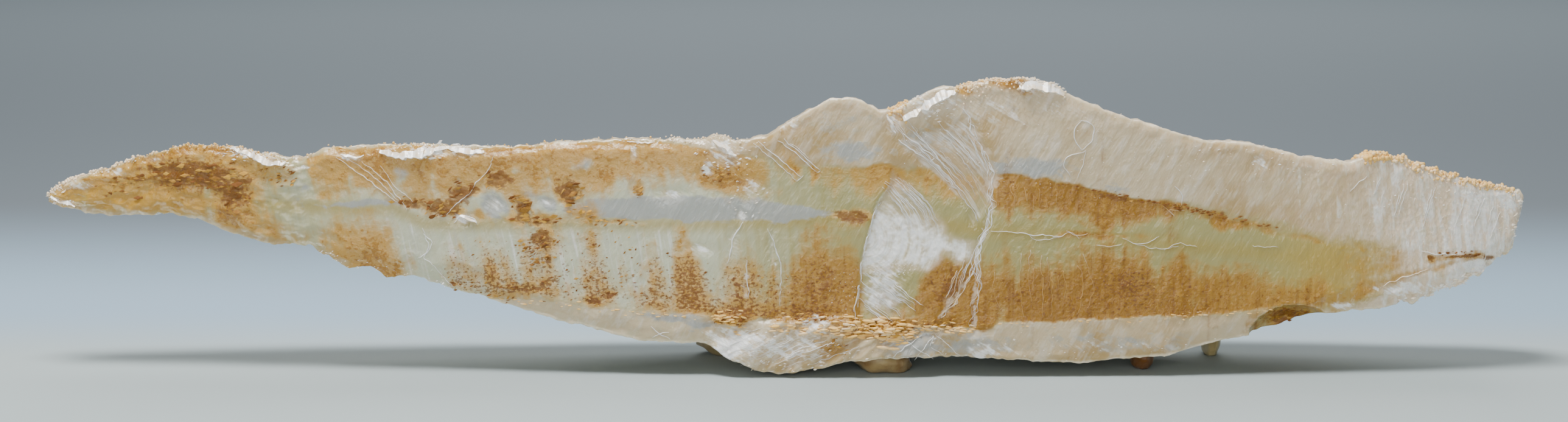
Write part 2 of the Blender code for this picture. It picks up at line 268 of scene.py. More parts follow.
FROST = (
    # The frost blots along the top edge from x -138 to -79, at z 53 to 58, and those at (28, 66), (36,
    # 70.5) and (65, 75.3) on the fin's crest are painted highlights, not bruises.
    ((25, 23), (6, 9), 0.92), ((42, 62), (8, 6), 0.3), ((60, 70), (26, 7), 0.36), ((54, 7), (9, 3), 0.30),
    ((88, 8), (30, 3), 0.28), ((-3, 8), (19, 6.5), 0.55), ((-14, 8), (8.5, 4.5), 0.8),
    ((7, 14), (5.5, 3), 0.6), ((36, 70.5), (7.5, 2.6), 0.7), ((28, 66), (2.5, 3), 0.8),
    ((2, 65), (3.5, 2.5), 0.4), ((-15, 56.5), (6, 3.6), 0.6), ((-16, 60), (5, 2), 0.8),
    ((-8.5, 49), (4, 4), 0.45), ((-10.5, 41.6), (1.4, 2), 0.7), ((-13, 35), (1.6, 5), 0.45),
    ((-10, 24), (1.4, 8), 0.35), ((-21, 33.5), (4, 2), 0.45), ((-2, 31), (0.8, 9), 0.5),
    ((-29, 47.2), (3.5, 2), 0.75), ((-19, 53), (1.8, 1.6), 1.1), ((-38, 57), (1.6, 2.5), 0.9),
    ((-82, 40.6), (3.5, 1.7), 1), ((-74, 44.2), (3.2, 2.8), 0.55), ((-60, 44.6), (2.2, 1.5), 0.55),
    ((-52.5, 44.8), (1.8, 1.2), 0.6), ((-99, 57), (4.5, 1), 0.6), ((-89, 57.4), (8.5, 1.2), 0.6),
    ((-79, 57.2), (5, 1), 0.6), ((-110, 56), (4, 1.2), 0.7), ((-138, 57), (4.5, 1), 0.6),
    ((-131, 54.6), (5, 1), 0.6), ((-124, 53.4), (4, 0.8), 0.8), ((-187.5, 46), (3.5, 2), 0.35),
    ((-181, 48.4), (6, 1.7), 0.5), ((-182, 42.6), (5, 0.8), 0.4), ((-171, 51.8), (7, 1.6), 0.5),
    ((-162, 55.2), (5, 1.4), 0.4), ((176, 46), (7, 5), 0.45), ((186, 44), (4, 5), 0.6),
    ((157, 40), (5, 4), 0.3), ((132, 52), (4, 4), 0.35), ((121, 55), (3, 3), 0.6),
    ((178, 27.5), (7, 2.5), 0.95), ((160, 22), (11, 2.6), 0.9), ((143, 18), (3, 1.5), 0.8),
    ((65, 75.3), (5, 2), 1.1), ((51, 7), (4.5, 3.5), 0.6), ((42.5, 19), (1.6, 6), 0.4),
)
HAZE = (
    ((-74.2, 43.8), (4.4, 4), 1.3), ((-59.8, 44.2), (3.2, 2.8), 1.2), ((-48.5, 44.2), (4, 3), 1.1),
    ((-64, 46.6), (2.6, 1.8), 1), ((-51.5, 55.6), (4, 3), 1), ((-97.6, 53), (1.8, 3.2), 0.8),
    ((-43, 44), (6, 2.2), 0.9), ((64, 53.6), (10, 3.4), 1.1), ((85, 48.6), (8, 1.8), 0.45),
    ((17, 58.4), (11, 3.2), 0.85), ((36, 60), (6, 4.5), 0.45), ((55, 54), (3, 4), 0.6),
    ((-29, 15.6), (10, 1.6), 0.9), ((-20, 13.5), (6, 1.6), 0.9), ((-124, 48), (3, 4.5), 0.5),
    ((-112, 47), (3, 3.5), 0.4), ((33, 8), (10, 4), 0.85), ((26, 21), (6, 6), 0.75),
    ((40, 62.5), (10, 6.5), 0.30), ((62, 69), (20, 6), 0.2), ((14, 66), (12, 5), 0.35),
    ((50, 8), (9, 4), 0.7), ((86, 9), (30, 4), 0.45), ((-152, 44), (3.5, 2.5), 0.4),
    ((-99, 52), (1.5, 3.5), 0.5), ((-39, 51), (3.5, 3.5), 0.5),
)
# Windows are where no clay settled. The spindles are outlines of the longest lenses of clear crystal, on
# the seam.
WINDOWS = (
    ((-74, 44.5), (4.5, 3.2), 1), ((-61, 45), (3.6, 2.2), 1), ((-51, 54.5), (4, 2), 0.9),
    ((-56.5, 43.6), (1.8, 1.4), 0.9), ((-79, 45.4), (1.6, 1.8), 0.9), ((-88, 36), (3, 8), 0.6),
    ((-36, 28), (2, 9), 0.5), ((-107, 43.8), (13, 2.1), 1.1), ((-123, 48), (2.4, 6), 0.9),
    ((-107, 47), (6, 2.4), 0.4), ((-98, 52), (2, 3), 0.8), ((-90, 50), (1.6, 2.6), 0.6),
    ((-68, 53), (2.4, 1.4), 0.6), ((-111, 50), (1.6, 3), 0.6), ((-89, 31), (4, 7), 0.4),
    ((-56, 29), (2.6, 8), 0.6), ((-31, 30), (3, 8), 0.5),
)
SPINDLE = np.array((
    (-58, 43.6), (-49, 46.6), (-38, 47.2), (-24, 47.6), (-11, 46.9), (1, 45.4), (8, 44), (14.6, 42.4),
    (12, 40.9), (4, 40.1), (-9, 39.7), (-24, 39.7), (-44, 40.2), (-56, 41.9),
))
SMALL_SPINDLE = np.array((
    (-122, 43.2), (-112, 45), (-104, 45.8), (-96, 45.2), (-97, 43), (-110, 42),
))
MAIN_CRACK = np.array((
    (46, 70), (48.1, 62.5), (50.4, 59.5), (52.1, 55.6), (52.4, 51.5), (52.1, 47.3), (52.9, 43.8),
    (51.7, 38.9), (49.7, 35.2), (48.4, 30), (49.2, 23.7), (48.9, 18.4), (48.9, 12.7),
))
CRACK_FORK = np.array(((48.6, 33.0), (46.9, 26.5), (45.5, 23.1), (42.8, 18.4), (39.5, 15.2)))

# Fine cracks, listed one by one, each as (width in mm, points).
CRACKS = (
    (0.32, ((-114, 56), (-106.6, 50.6), (-99, 44.6))), (0.28, ((-107.6, 55), (-101.4, 49.8), (-96.4, 43))),
    (0.22, ((-110.8, 55.6), (-104, 50.6), (-98.4, 44.8))), (0.25, ((-103, 54), (-99.4, 49), (-94.6, 44.4))),
    (0.30, ((-1.3, 61.2), (3.6, 57), (8.6, 52.8))), (0.30, ((-0.1, 61.4), (4.8, 57.2), (9.4, 53.4))),
    (0.30, ((-6.6, 60.9), (-1, 56), (4.2, 51.4))), (0.22, ((-8, 60.5), (-2.4, 55.6), (3.4, 50.6))),
    (0.25, ((8.6, 52.8), (9.4, 53.4))), (0.25, ((3.4, 50.6), (4.6, 51.9))),
    (0.2, ((1.8, 60.4), (6.8, 56.2))), (0.40, ((28.9, 61.3), (33, 58.4), (36.7, 55.7))),
    (0.40, ((30.2, 62.6), (34.6, 59.4), (38.2, 56.6))), (0.30, ((36.7, 55.7), (38.2, 56.6))),
    (0.25, ((33.6, 63), (38.6, 57), (43.5, 50.4))), (0.30, ((38.8, 65.7), (45, 59.8), (50.7, 52.5))),
    (0.25, ((31, 64.4), (36, 60.2), (41.6, 53.6))),
    (0.35, ((-4.3, 38.4), (-2.4, 34.2), (-0.6, 28.2), (-0.9, 23), (-1.3, 18.5))),
    (0.4, ((-9.3, 30.6), (-9.6, 26), (-8.9, 20.3))),
    (0.45, ((-10.2, 40.2), (-12.4, 37), (-13.6, 32.2), (-14.6, 29.4))),
    (0.22, ((52.6, 37.8), (57, 37.6), (61.9, 37.1), (66, 36.6), (70.4, 36.8), (73.6, 37.4), (75, 35.6))),
    (0.15, ((61.9, 37.1), (63.4, 35.6), (67.5, 35.8), (70.2, 36.7))),
    (0.2, ((71.5, 38), (74.2, 36.4), (77, 37.2))), (0.18, ((79.6, 34.2), (82.4, 33.6), (85.8, 34.3))),
    (0.15, ((85.8, 36), (89.4, 34.4), (93, 34.9), (95.4, 36.4))),
    (0.13, ((89.4, 34.4), (94, 33.2), (100.4, 33.8))), (0.13, ((96.4, 33.2), (100.6, 34.8), (105, 33.8))),
    (0.12, ((119.4, 34), (122.6, 33.4), (126, 33.7))),
    (0.2, ((96, 44.2), (99.4, 41.6), (97.2, 43.4), (101.8, 43))),
    (0.30, ((74.6, 66.2), (77.6, 65.4), (78.6, 62.6), (77.2, 60), (75, 58.8))),
    (0.28, ((75, 66.3), (73.4, 63.8), (73.4, 60.8), (75.2, 58.6))),
    (0.28, ((76.5, 58.5), (73.4, 57.4), (71, 56.6), (70.8, 54.4), (72.6, 51.8))),
    (0.2, ((76.5, 58.5), (75.6, 54.6), (74.4, 51.6))),
    (0.35, ((153.3, 23.1), (158.8, 25.4), (165.3, 27.3))), (0.3, ((163, 31.9), (168.4, 31), (174.6, 31.2))),
    (0.35, ((-73.6, 57.6), (-75.2, 53.2), (-78.6, 49.4), (-80.2, 46.8))),
    (0.3, ((-80.2, 46.8), (-84.8, 43.2), (-86.4, 41.2))),
    (0.35, ((-84.4, 39.4), (-82.6, 41.4), (-79.6, 41), (-78.4, 39.2))),
    (0.3, ((-92.6, 38), (-91, 33.4), (-92.2, 30), (-89.4, 28))),
    (0.3, ((-93.4, 30.2), (-91.2, 31.8), (-89.8, 34.6), (-92.4, 36.4))),
    (0.25, ((-89.4, 28), (-87.2, 24.8), (-84.6, 22.6))), (0.45, ((20.2, 30), (18.9, 23.6), (17.9, 16.8))),
    (0.5, ((24.1, 44.9), (21.9, 38.6), (20.2, 30))), (0.25, ((21, 27), (26.5, 22.4), (33.6, 17))),
    (0.25, ((19.6, 25), (24, 20.6), (30, 15.8))), (0.25, ((23, 28.6), (28.6, 24), (35.6, 18.6))),
    (0.22, ((19, 20.4), (22.6, 17.2), (26, 15))), (0.3, ((27.6, 5.4), (31, 8.4), (35.4, 10.6))),
    (0.25, ((33.4, 4.8), (35.6, 7.8), (38.4, 11.2), (37, 8), (40.4, 6))),
    (0.25, ((30, 11), (33.6, 8), (38.2, 5))), (0.25, ((38.4, 11.2), (41.6, 8.6), (45, 5.6))),
    (0.3, ((-34, 12.8), (-31, 10.4), (-29, 9.4))), (0.25, ((-33.6, 10.2), (-31.6, 11.8), (-29.6, 11.6))),
    (0.22, ((144, 47.2), (146, 49.6), (148.4, 51.4))), (0.25, ((99.2, 49.4), (101.2, 46.8), (100.4, 44))),
)
# Families of fine cracks that run side by side: count, first line, last line and width in mm. The four
# lines that the fan on the fin is drawn between are named, because its families share them.
FAN_LOW = (
    (29.5, 60.8), (33.3, 57.8), (37.8, 53.2), (41.6, 49.1), (45.3, 45.6), (47.6, 42.6), (49.5, 39.2),
)
FAN_MIDDLE = (
    (33.3, 61.9), (37.4, 57.8), (41.6, 53.6), (44.6, 50.6), (47.6, 46.8), (49.1, 42.2), (50.2, 39.6),
)
FAN_HIGH = (
    (39.7, 64.2), (41.5, 62.6), (43.1, 60.8), (46.1, 57.4), (48.3, 54.4), (49.5, 51.0), (50.6, 45.0),
)
FAN_TOP = (
    (46.5, 66.0), (47.8, 64.0), (48.7, 62.3), (50.2, 58.5), (51.3, 55.1), (52.5, 52.1), (52.8, 47.0),
)
CRACK_FANS = (
    (7, FAN_LOW, FAN_MIDDLE, 0.17), (8, FAN_MIDDLE, FAN_HIGH, 0.14), (7, FAN_HIGH, FAN_TOP, 0.14),
    (24, ((24.6, 49), (27, 46.6), (29.5, 43.6), (31.2, 40.4), (32, 37)),
     ((27.7, 54), (33.3, 49.4), (37.8, 44.9), (40.1, 40.3), (41, 37.3)), 0.2),
    (7, ((26, 66.5), (28.6, 63.8), (30.4, 60)), ((31.5, 67), (34, 64), (36.6, 60.6)), 0.2),
    (26, ((-22.5, 8.5), (-10, 14.6)), ((2, 1.6), (21, 9)), 0.2),
    (8, ((44.6, 31), (38.5, 15.4)), ((48.2, 33), (42.6, 15)), 0.22),
    (13, ((55, 33), (53, 24), (56.2, 15)), ((78, 32), (81.8, 24), (78.4, 15)), 0.11),
    (14, ((54, 50), (56, 47), (55, 43)), ((72, 48), (71, 45), (72, 42)), 0.12),
    (16, ((20.2, 18.2), (27, 13.2)), ((24, 27.6), (36.5, 18)), 0.2),
    (16, ((150, 53), (147, 40)), ((188, 44.5), (184, 33)), 0.2),
)
# Cracks that run deep into the crystal: path, depth and lean to one side in mm. Those given by number are
# rows of the listed fine cracks.
DEEP_CRACKS = (
    (MAIN_CRACK, 9.0, -4.5), (CRACK_FORK, 7.0, -3.0), (CRACKS[0][1], 6.0, 3.5), (CRACKS[4][1], 5.0, 1.5),
    (CRACKS[11][1], 5.0, 1.5), (STEP_EDGE[:, ::-1], 5.0, -2.0), (CRACKS[20][1], 6.0, 1.0),
    (FAN_MIDDLE, 4.0, 1.5), (FAN_HIGH, 4.0, 1.5),
)
# Paths that fine cracks braid along: path, how far they stray, count.
CRACK_BRAIDS = ((MAIN_CRACK, 1.7, 13), (CRACK_FORK, 1.3, 7), (STEP_EDGE[:, ::-1], 0.7, 6))
# Long cleavage faces that face the light, as (width in mm, points). The faces are tilted up to the lamp,
# and their white colour is a painted highlight that stands for the glare on them.
GLINTS = (
    (2.6, ((-103, 57.4), (-99.5, 56.7), (-96, 56.4), (-92.8, 57), (-90.4, 57.4), (-87.5, 58.2),
     (-85, 58.6))),
    (1.9, ((-86, 58.6), (-84, 58.4), (-82, 57.9), (-79, 57.3), (-76.2, 57.5))),
    (1.9, ((-142, 57.9), (-139, 57.3), (-136, 56.5), (-133.6, 55.1), (-131, 54.3), (-127, 54.4))),
    (0.8, ((-113, 56.8), (-110, 56), (-107.4, 56.3))), (1.6, ((-189.6, 45), (-187, 44), (-183, 42.5))),
    (3.2, ((30.4, 66.4), (34.5, 69), (38.5, 71.2), (43, 73.6))),
    (1.1, ((25.6, 67), (27.2, 65), (28.4, 63))), (3, ((59, 74.6), (63.5, 75), (67.5, 74.1), (70.5, 72.6))),
    (0.5, ((-40, 60.3), (-36, 60.5), (-33, 60.2))), (1.6, ((-17.5, 60.6), (-14, 58.4), (-12, 57))),
    (0.9, ((-82.8, 41.3), (-80.6, 40.9), (-78.8, 39.6))),
)
# Where granules of crust sit: centre and reach in x, on the top edge or on the torn clay line, how many,
# their radius in mm, and their tone from ochre (0) to cream (1).
CRUST = (
    (169, 21, "top", 1500, 0.60, 0.25), (150.5, 3.5, "top", 260, 0.75, 0.1), (53, 9, "top", 420, 0.42, 0.5),
    (45.5, 3, "top", 90, 0.5, 0.3), (29, 3, "top", 90, 0.5, 0.15), (-155, 26, "top", 420, 0.38, 0.35),
    (-176, 13, "top", 260, 0.45, 0.8), (-110, 22, "top", 110, 0.35, 0.3), (-70, 40, "top", 120, 0.3, 0.25),
    (-20, 12, "top", 70, 0.35, 0.7), (-187, 3.5, "top", 90, 0.45, 0.9), (66, 6, "top", 90, 0.5, 1),
    (-14, 5, "torn", 40, 0.55, 0), (8, 12, "torn", 90, 0.60, 0.2), (24, 9, "torn", 150, 0.75, 0.1),
    (40, 10, "torn", 90, 0.5, 0.2), (-50, 30, "torn", 60, 0.3, 0.05), (90, 45, "torn", 60, 0.3, 0.1),
)
# Where flakes sit: centre (x, z) and reach of the patch, which edge they keep to, how many, radius in mm,
# tone from golden (0) to brown (1), and True where they lie nearly level.
# Of the chips, those at x -89 and -133 on the top edge, those on the fin, the 420 at (80, 58) and those on
# the scar are white flakes that paint glints and sparkle, as well as being chips.
CHIPS = (
    ((-89, 57.3), (15, 1.9), "face", 40, 1.2, 0, True), ((-133, 56), (10, 1.8), "face", 30, 1.2, 0, True),
    ((-89, 57.5), (18, 3), "upper", 90, 0.8, 0), ((-134, 56.5), (13, 3), "upper", 90, 0.8, 0),
    ((37, 70), (9, 5), "face", 90, 0.7, 0), ((65, 75), (6, 4), "upper", 60, 0.8, 0),
    ((-14, 57), (10, 5), "face", 100, 0.7, 0), ((0, 6), (24, 8), "face", 160, 0.7, 0),
    ((170, 46), (22, 12), "face", 70, 0.5, 0), ((187, 40), (5, 9), "face", 60, 0.8, 0),
    ((165, 23), (22, 6), "lower", 130, 0.8, 0), ((120, 56), (32, 6), "face", 60, 0.5, 0),
    ((80, 58), (70, 14), "face", 420, 0.24, 0), ((165, 44), (26, 12), "face", 260, 0.32, 0),
    ((27, 28), (8, 3), "face", 150, 0.35, 0), ((15, 24), (5, 8), "face", 70, 0.22, 0),
    ((-187, 45), (5, 3), "face", 60, 0.8, 0), ((0, 60), (60, 12), "upper", 90, 0.5, 0),
    ((-60, 57), (40, 5), "upper", 70, 0.4, 0), ((60, 8), (60, 5), "face", 100, 0.35, 0),
    ((-9, 47), (6, 7), "face", 60, 0.6, 0), ((-100, 28), (40, 8), "lower", 100, 0.4, 0),
)
CLAY_FLAKES = (
    ((-95, 44.6), (6, 1.6), "face", 30, 1.6, 0.7), ((-88, 42.4), (7, 2.2), "face", 36, 1.8, 0.6),
    ((-82, 47.5), (5, 3.5), "face", 20, 1.4, 0.5), ((-75, 50), (5, 4), "face", 24, 1.4, 0.35),
    ((-67, 44), (4.2, 4.2), "face", 36, 1.8, 0.45), ((-64, 40.3), (10, 1.6), "face", 60, 1.6, 0.35, True),
    ((-54, 47.5), (4, 5.5), "face", 36, 1.7, 0.6), ((-51, 42), (6, 2.5), "face", 34, 1.3, 0.25),
    ((-44, 40), (9, 1), "face", 60, 0.8, 0.3), ((-37, 48), (2.6, 2.2), "face", 30, 0.8, 0.3),
    ((-141, 46), (7, 5), "face", 40, 1.6, 0.6), ((-150, 51), (16, 5), "face", 110, 1.7, 0.5, True),
    ((-168, 48), (14, 4.5), "face", 70, 1.4, 0.45, True), ((-130, 51), (8, 4), "face", 70, 1.1, 0.4),
    ((-63, 33), (6, 6), "face", 110, 0.9, 0.6), ((-16, 52), (8, 3), "face", 60, 1, 0.25),
    ((-14, 14.8), (5, 1.2), "face", 70, 1.2, 0.35), ((8, 15.6), (10, 1.5), "face", 110, 1, 0.3),
    ((25, 12.5), (9, 2.6), "face", 190, 1.2, 0.25), ((13, 8), (4, 3.5), "face", 40, 0.9, 0.35),
    ((42, 14), (10, 1.3), "face", 80, 0.9, 0.3), ((-60, 23), (40, 5), "face", 160, 0.8, 0.75),
    ((-50, 30), (38, 10), "face", 200, 0.6, 0.6), ((6, 24), (14, 9), "face", 160, 0.55, 0.6),
    ((96, 44), (36, 12), "border", 220, 0.8, 0.85, True), ((80, 22), (40, 8), "face", 220, 0.5, 0.7),
    ((173, 31.2), (9, 0.9), "face", 40, 0.7, 0.9), ((129, 15), (8, 4), "face", 40, 0.7, 0.7),
)


# --------------------------------------------------------------------------------------------------
# Noise, curves and distances
# --------------------------------------------------------------------------------------------------


def along(table, x, column=1):
    """The table's value at each x, on straight runs between its rows."""
    return np.interp(x, table[:, 0], table[:, column])


# Large odd numbers that mix a lattice corner's coordinates and the seed into one number.
MIXERS = (73856093, 19349663, 83492791, 1013904223)
LAST_MIXER = 1274126177


def corner_value(i, j, k, seed):
    """A repeatable number from -1 to 1 for each corner of a cubic lattice: its whole coordinates, mixed."""
    mixed = (i * MIXERS[0]) ^ (j * MIXERS[1]) ^ (k * MIXERS[2]) ^ (seed * MIXERS[3])
    mixed = ((mixed ^ (mixed >> 13)) * LAST_MIXER) & 0xFFFFFFFF
    mixed = mixed ^ (mixed >> 15)
    return (mixed & 0xFFFF) / 32767.5 - 1.0


def lumps(x, y, z, seed=0):
    """Smooth noise from -1 to 1: an eased blend of the eight corner values of the unit cell round each
    point."""
    point = np.stack(np.broadcast_arrays(x, y, z)).astype(float)
    cell = np.floor(point)
    fx, fy, fz = (share * share * (3 - 2 * share) for share in point - cell)
    i, j, k = cell.astype(np.int64)
    total = 0.0
    for a, wx in ((0, 1 - fx), (1, fx)):
        for b, wy in ((0, 1 - fy), (1, fy)):
            for c, wz in ((0, 1 - fz), (1, fz)):
                total = total + wx * wy * wz * corner_value(i + a, j + b, k + c, seed)
    return total


def rough(x, y, z, seed=0, octaves=3):
    """Fractal noise: octaves of lumps, each half the size and half the height of the one before."""
    return sum(lumps(x * 2**n, y * 2**n, z * 2**n, seed + n) / 2**n for n in range(octaves))


def ease(low, high, value):
    """0 below low, 1 above high, and an S curve between; low may be the larger, which turns it round."""
    share = np.clip((value - low) / (high - low), 0, 1)
    return share * share * (3 - 2 * share)


def dome(x, z, centre, radii):
    """1 at the centre of an ellipse, falling like a dome to 0 at its rim."""
    reach = ((x - centre[0]) / radii[0]) ** 2 + ((z - centre[1]) / radii[1]) ** 2
    return np.sqrt(np.clip(1 - reach, 0, 1))


def blot(x, z, centre, radii):
    """1 at the centre of an ellipse, falling as a bell curve that is small at its rim."""
    return np.exp(-1.6 * (((x - centre[0]) / radii[0]) ** 2 + ((z - centre[1]) / radii[1]) ** 2))


def union(table, x, z):
    """How strongly blots cover a spot, from 0 to 1: what stays clear is the product of what each leaves
    clear."""
    clear = 1.0
    for centre, radii, strength in table:
        clear = clear * (1 - np.clip(strength * blot(x, z, centre, radii), 0, 0.97))
    return 1 - clear


def distance_to(path, x, z):
    """The distance from each spot to a path of straight runs: the least of its distances to the runs."""
    least = np.full(np.shape(x), np.inf)
    for (ax, az), (bx, bz) in zip(path[:-1], path[1:]):
        run_x, run_z = bx - ax, bz - az
        share = np.clip(((x - ax) * run_x + (z - az) * run_z) / (run_x**2 + run_z**2), 0, 1)
        least = np.minimum(least, np.hypot(x - ax - share * run_x, z - az - share * run_z))
    return least


def inside_distance(outline, x, z):
    """The distance of each spot from a closed outline, counted as positive inside. A spot is inside if a
    line from it towards +X crosses the outline an odd number of times."""
    inside = np.zeros(np.shape(x), bool)
    closed = np.concatenate((outline, outline[:1]))
    for (ax, az), (bx, bz) in zip(closed[:-1], closed[1:]):
        if az == bz:
            continue
        share = (z - az) / (bz - az)
        inside = inside ^ ((share >= 0) & (share < 1) & (x < ax + share * (bx - ax)))
    return np.where(inside, 1, -1) * distance_to(closed, x, z)


def smooth_path(path, count):
    """A path read at evenly spaced lengths, with its corners rounded by two passes of averaging
    neighbours."""
    path = np.asarray(path, float)
    length = np.concatenate(([0.0], np.cumsum(np.hypot(*np.diff(path, axis=0).T))))
    even = np.linspace(0, length[-1], count)
    points = np.stack([np.interp(even, length, path[:, axis]) for axis in (0, 1)], axis=1)
    for _ in range(2):
        points[1:-1] = 0.25 * points[:-2] + 0.5 * points[1:-1] + 0.25 * points[2:]
    return points


# --------------------------------------------------------------------------------------------------
# The crystal's surface
# --------------------------------------------------------------------------------------------------


def edges(x):
    """Heights of the broken lower and upper edges at x: the outline, with small chips along it."""
    ends = ease(LOW[0], LOW[0] + 4, x) * ease(HIGH[0], HIGH[0] - 1.5, x)
    crumbly = ends * along(CRUMBLY, x)
    low = along(LOWER_EDGE, x) + crumbly * rough(x / 2.6, 0.5, 0.5, seed=11)
    high = along(UPPER_EDGE, x) + crumbly * rough(x / 2.2, 0.5, 0.5, seed=12)
    return low, high


def front_plane(x):
    """y of the cleavage plane, which is drawn back by a share of what the blade lacks in thickness at x."""
    return FRONT_Y + (THICKNESS - along(THICKNESS_ALONG, x)) * DRAWN_BACK_SHARE


def front_surface(x, z):
    """y of the front: the cleavage plane, drawn back where the blade thins, less its chamfers, scar and
    scoop."""
    low, high = along(LOWER_EDGE, x), along(UPPER_EDGE, x)
    depth = 0.0
    for table, gap in ((UPPER_CHAMFER, high - z), (LOWER_CHAMFER, z - low)):
        wide = along(table, x, 2) * (1 + 0.45 * rough(x / 6, z / 6, 0.0, seed=3))
        depth = depth + along(table, x, 1) * np.clip(1 - gap / wide, 0, 1.4)
    depth = depth + scar_depth(x, z)
    depth = depth + SCOOP[2] * dome(x, z, SCOOP[0], SCOOP[1])
    depth = depth - LIP[2] * dome(x, z, LIP[0], LIP[1])
    depth = depth + relief(x, z)
    return front_plane(x) + np.minimum(depth, DEEPEST_SHARE * along(THICKNESS_ALONG, x))


def scar_depth(x, z):
    """Depth of the flake scar: a sharp step on its left, rising evenly to the crack on its right, with
    ripples."""
    step = along(STEP_EDGE, z)
    share = np.clip((x - step) / (50 - step), 0, 1)
    inside = ease(-0.2, 0.25, x - step) * ease(58, 50, z) * ease(13, 17, z)
    reach = np.hypot(x - SCAR_CENTRE[0], z - SCAR_CENTRE[1])
    return inside * (0.9 * (1 - share) ** 1.3 + 0.12 * np.sin(reach * 1.9) * (1 - share))


def relief(x, z):
    """Fine relief of the front, in mm: silky ridges on the torn foot and the right end, crumbs along the
    worn edges, a groove along the main crack with its right side a little proud, and a faint waviness
    everywhere."""
    low, high = along(LOWER_EDGE, x), along(UPPER_EDGE, x)
    torn = ease(15.5, 13.0, z) * ease(-24, -19, x) * ease(48, 34, x)
    lean = math.radians(33)
    across, down = z * math.cos(lean) - x * math.sin(lean), x * math.cos(lean) + z * math.sin(lean)
    ridges = torn * (1.2 * rough(across / 2.0, down / 16, 0.3, seed=41) + 0.5)
    broken = ease(140, 176, x) * ease(0.0, 6.0, z - along(PHANTOM_UPPER, x))
    foot = ease(146, 152, x) * ease(1.0, -1.0, z - along(PHANTOM_LOWER, x))
    steps = (broken + foot) * 0.34 * rough((x + 0.22 * (z - 40)) / 3.0, z / 15, 0.4, seed=42)
    worn = ease(5.0, 1.0, high - z) + ease(5.0, 1.0, z - low) + ease(-108, -130, x)
    crumbs = 0.30 * worn * rough(x / 2.6, z / 1.8, 0.8, seed=43)
    crack = np.minimum(distance_to(MAIN_CRACK, x, z), distance_to(CRACK_FORK, x, z) + 0.4)
    groove = 0.45 * np.exp(-((crack / 0.8) ** 2))
    raised = 0.35 * ease(-0.5, 0.5, x - along(MAIN_CRACK[::-1, ::-1], z)) * ease(90, 55, x)
    torn_clay = ease(3.2, 0.5, np.abs(z - along(PHANTOM_LOWER, x) + 1.2))
    torn_clay = torn_clay * ease(-22, -14, x) * ease(60, 40, x)
    ledge = -1.1 * torn_clay * (0.4 + rough(x / 3.5, z / 1.4, 0.1, seed=44))
    waves = 0.05 * rough(x / 9, z / 6, 0.5, seed=45)
    return ridges + steps + crumbs + groove - raised * ease(72, 60, z) + ledge + waves


def back_rows(x, low, high):
    """Heights and thickness shares of the rows down the back at x, kept between the broken edges."""
    grown_low, grown_high = along(GROWN_LOWER, x), along(GROWN_UPPER, x)
    shares, fullness = BACK_PROFILE.T
    room = np.linspace(0.0, 0.3, len(shares))
    heights = grown_low + shares * (grown_high - grown_low)
    heights = np.clip(heights, low + room * (high - low), high - room[::-1] * (high - low))
    heights[:, 0], heights[:, -1] = low[:, 0], high[:, 0] - np.minimum(1.9, 0.12 * (high - low))[:, 0]
    return heights, np.interp((heights - grown_low) / (grown_high - grown_low), shares, fullness)


def blade_grid():
    """The crystal's surface as an array of stations by points round each station, in mm.

    Each station is a closed ring: up the flat front, over the narrow top, down the back's growth faces, and
    under. The stations crowd towards both ends. Front points lie on front_surface, and the others get crust
    relief.
    """
    turn = np.linspace(-1, 1, STATIONS)
    x = (0.5 * LENGTH * (0.86 * turn + 0.14 * np.sin(turn * math.pi / 2)))[:, None]
    low, high = edges(x)
    share = np.linspace(0, 1, FRONT_POINTS)[None, :]
    front_z = low + share * (high - low)
    front_y = front_surface(x, front_z)
    thick = along(THICKNESS_ALONG, x)
    plane = front_plane(x)

    heights, fullness = back_rows(x, low, high)
    rows = np.linspace(0, len(BACK_PROFILE) - 1, BACK_SPAN_POINTS * (len(BACK_PROFILE) - 1) + 1)[::-1]
    lower_row = np.minimum(rows.astype(int), len(BACK_PROFILE) - 2)
    part = (rows - lower_row)[None, :]
    back_z = heights[:, lower_row] * (1 - part) + heights[:, lower_row + 1] * part
    back_full = fullness[:, lower_row] * (1 - part) + fullness[:, lower_row + 1] * part
    thin = np.minimum(1, thick / 20)
    back_y = plane + thick * back_full + 0.8 * thin * rough(x / 34, 0.3, back_z / 4.5, seed=5)
    back_y = back_y + 0.3 * thin * rough(x / 5, 0.3, back_z / 2.5, seed=6)

    crown = 0.3 * np.minimum(0.8, 0.2 * (high - low))
    across = np.linspace(0, 1, TOP_POINTS + 2)[None, 1:-1]
    top_y = front_y[:, -1:] * (1 - across) + back_y[:, :1] * across
    crumbs = 0.5 * thin * rough(x / 3, top_y / 3, 0.2, seed=7)
    top_z = high * (1 - across) + back_z[:, :1] * across + (crown + crumbs) * np.sin(math.pi * across)
    across = np.linspace(0, 1, BOTTOM_POINTS + 2)[None, 1:-1]
    bottom_y = back_y[:, -1:] * (1 - across) + front_y[:, :1] * across
    crumbs = 0.5 * thin * rough(x / 4, bottom_y / 4, 0.7, seed=8)
    bottom_z = low + (crumbs - crown) * np.sin(math.pi * across)

    y = np.concatenate((front_y, top_y, back_y, bottom_y), axis=1)
    z = np.maximum(np.concatenate((front_z, top_z, back_z, bottom_z), axis=1), LOWEST)
    return np.stack((np.broadcast_to(x, y.shape), y, z), axis=2)


def band(table, x, inward):
    """Clay that settled on one border of the phantom: dense at the border, fading out at the table's
    reach."""
    reach, density = along(table, x, 1), along(table, x, 2)
    return density * ease(1.35, 0.35, inward / reach) * ease(-0.9, 0.5, inward)


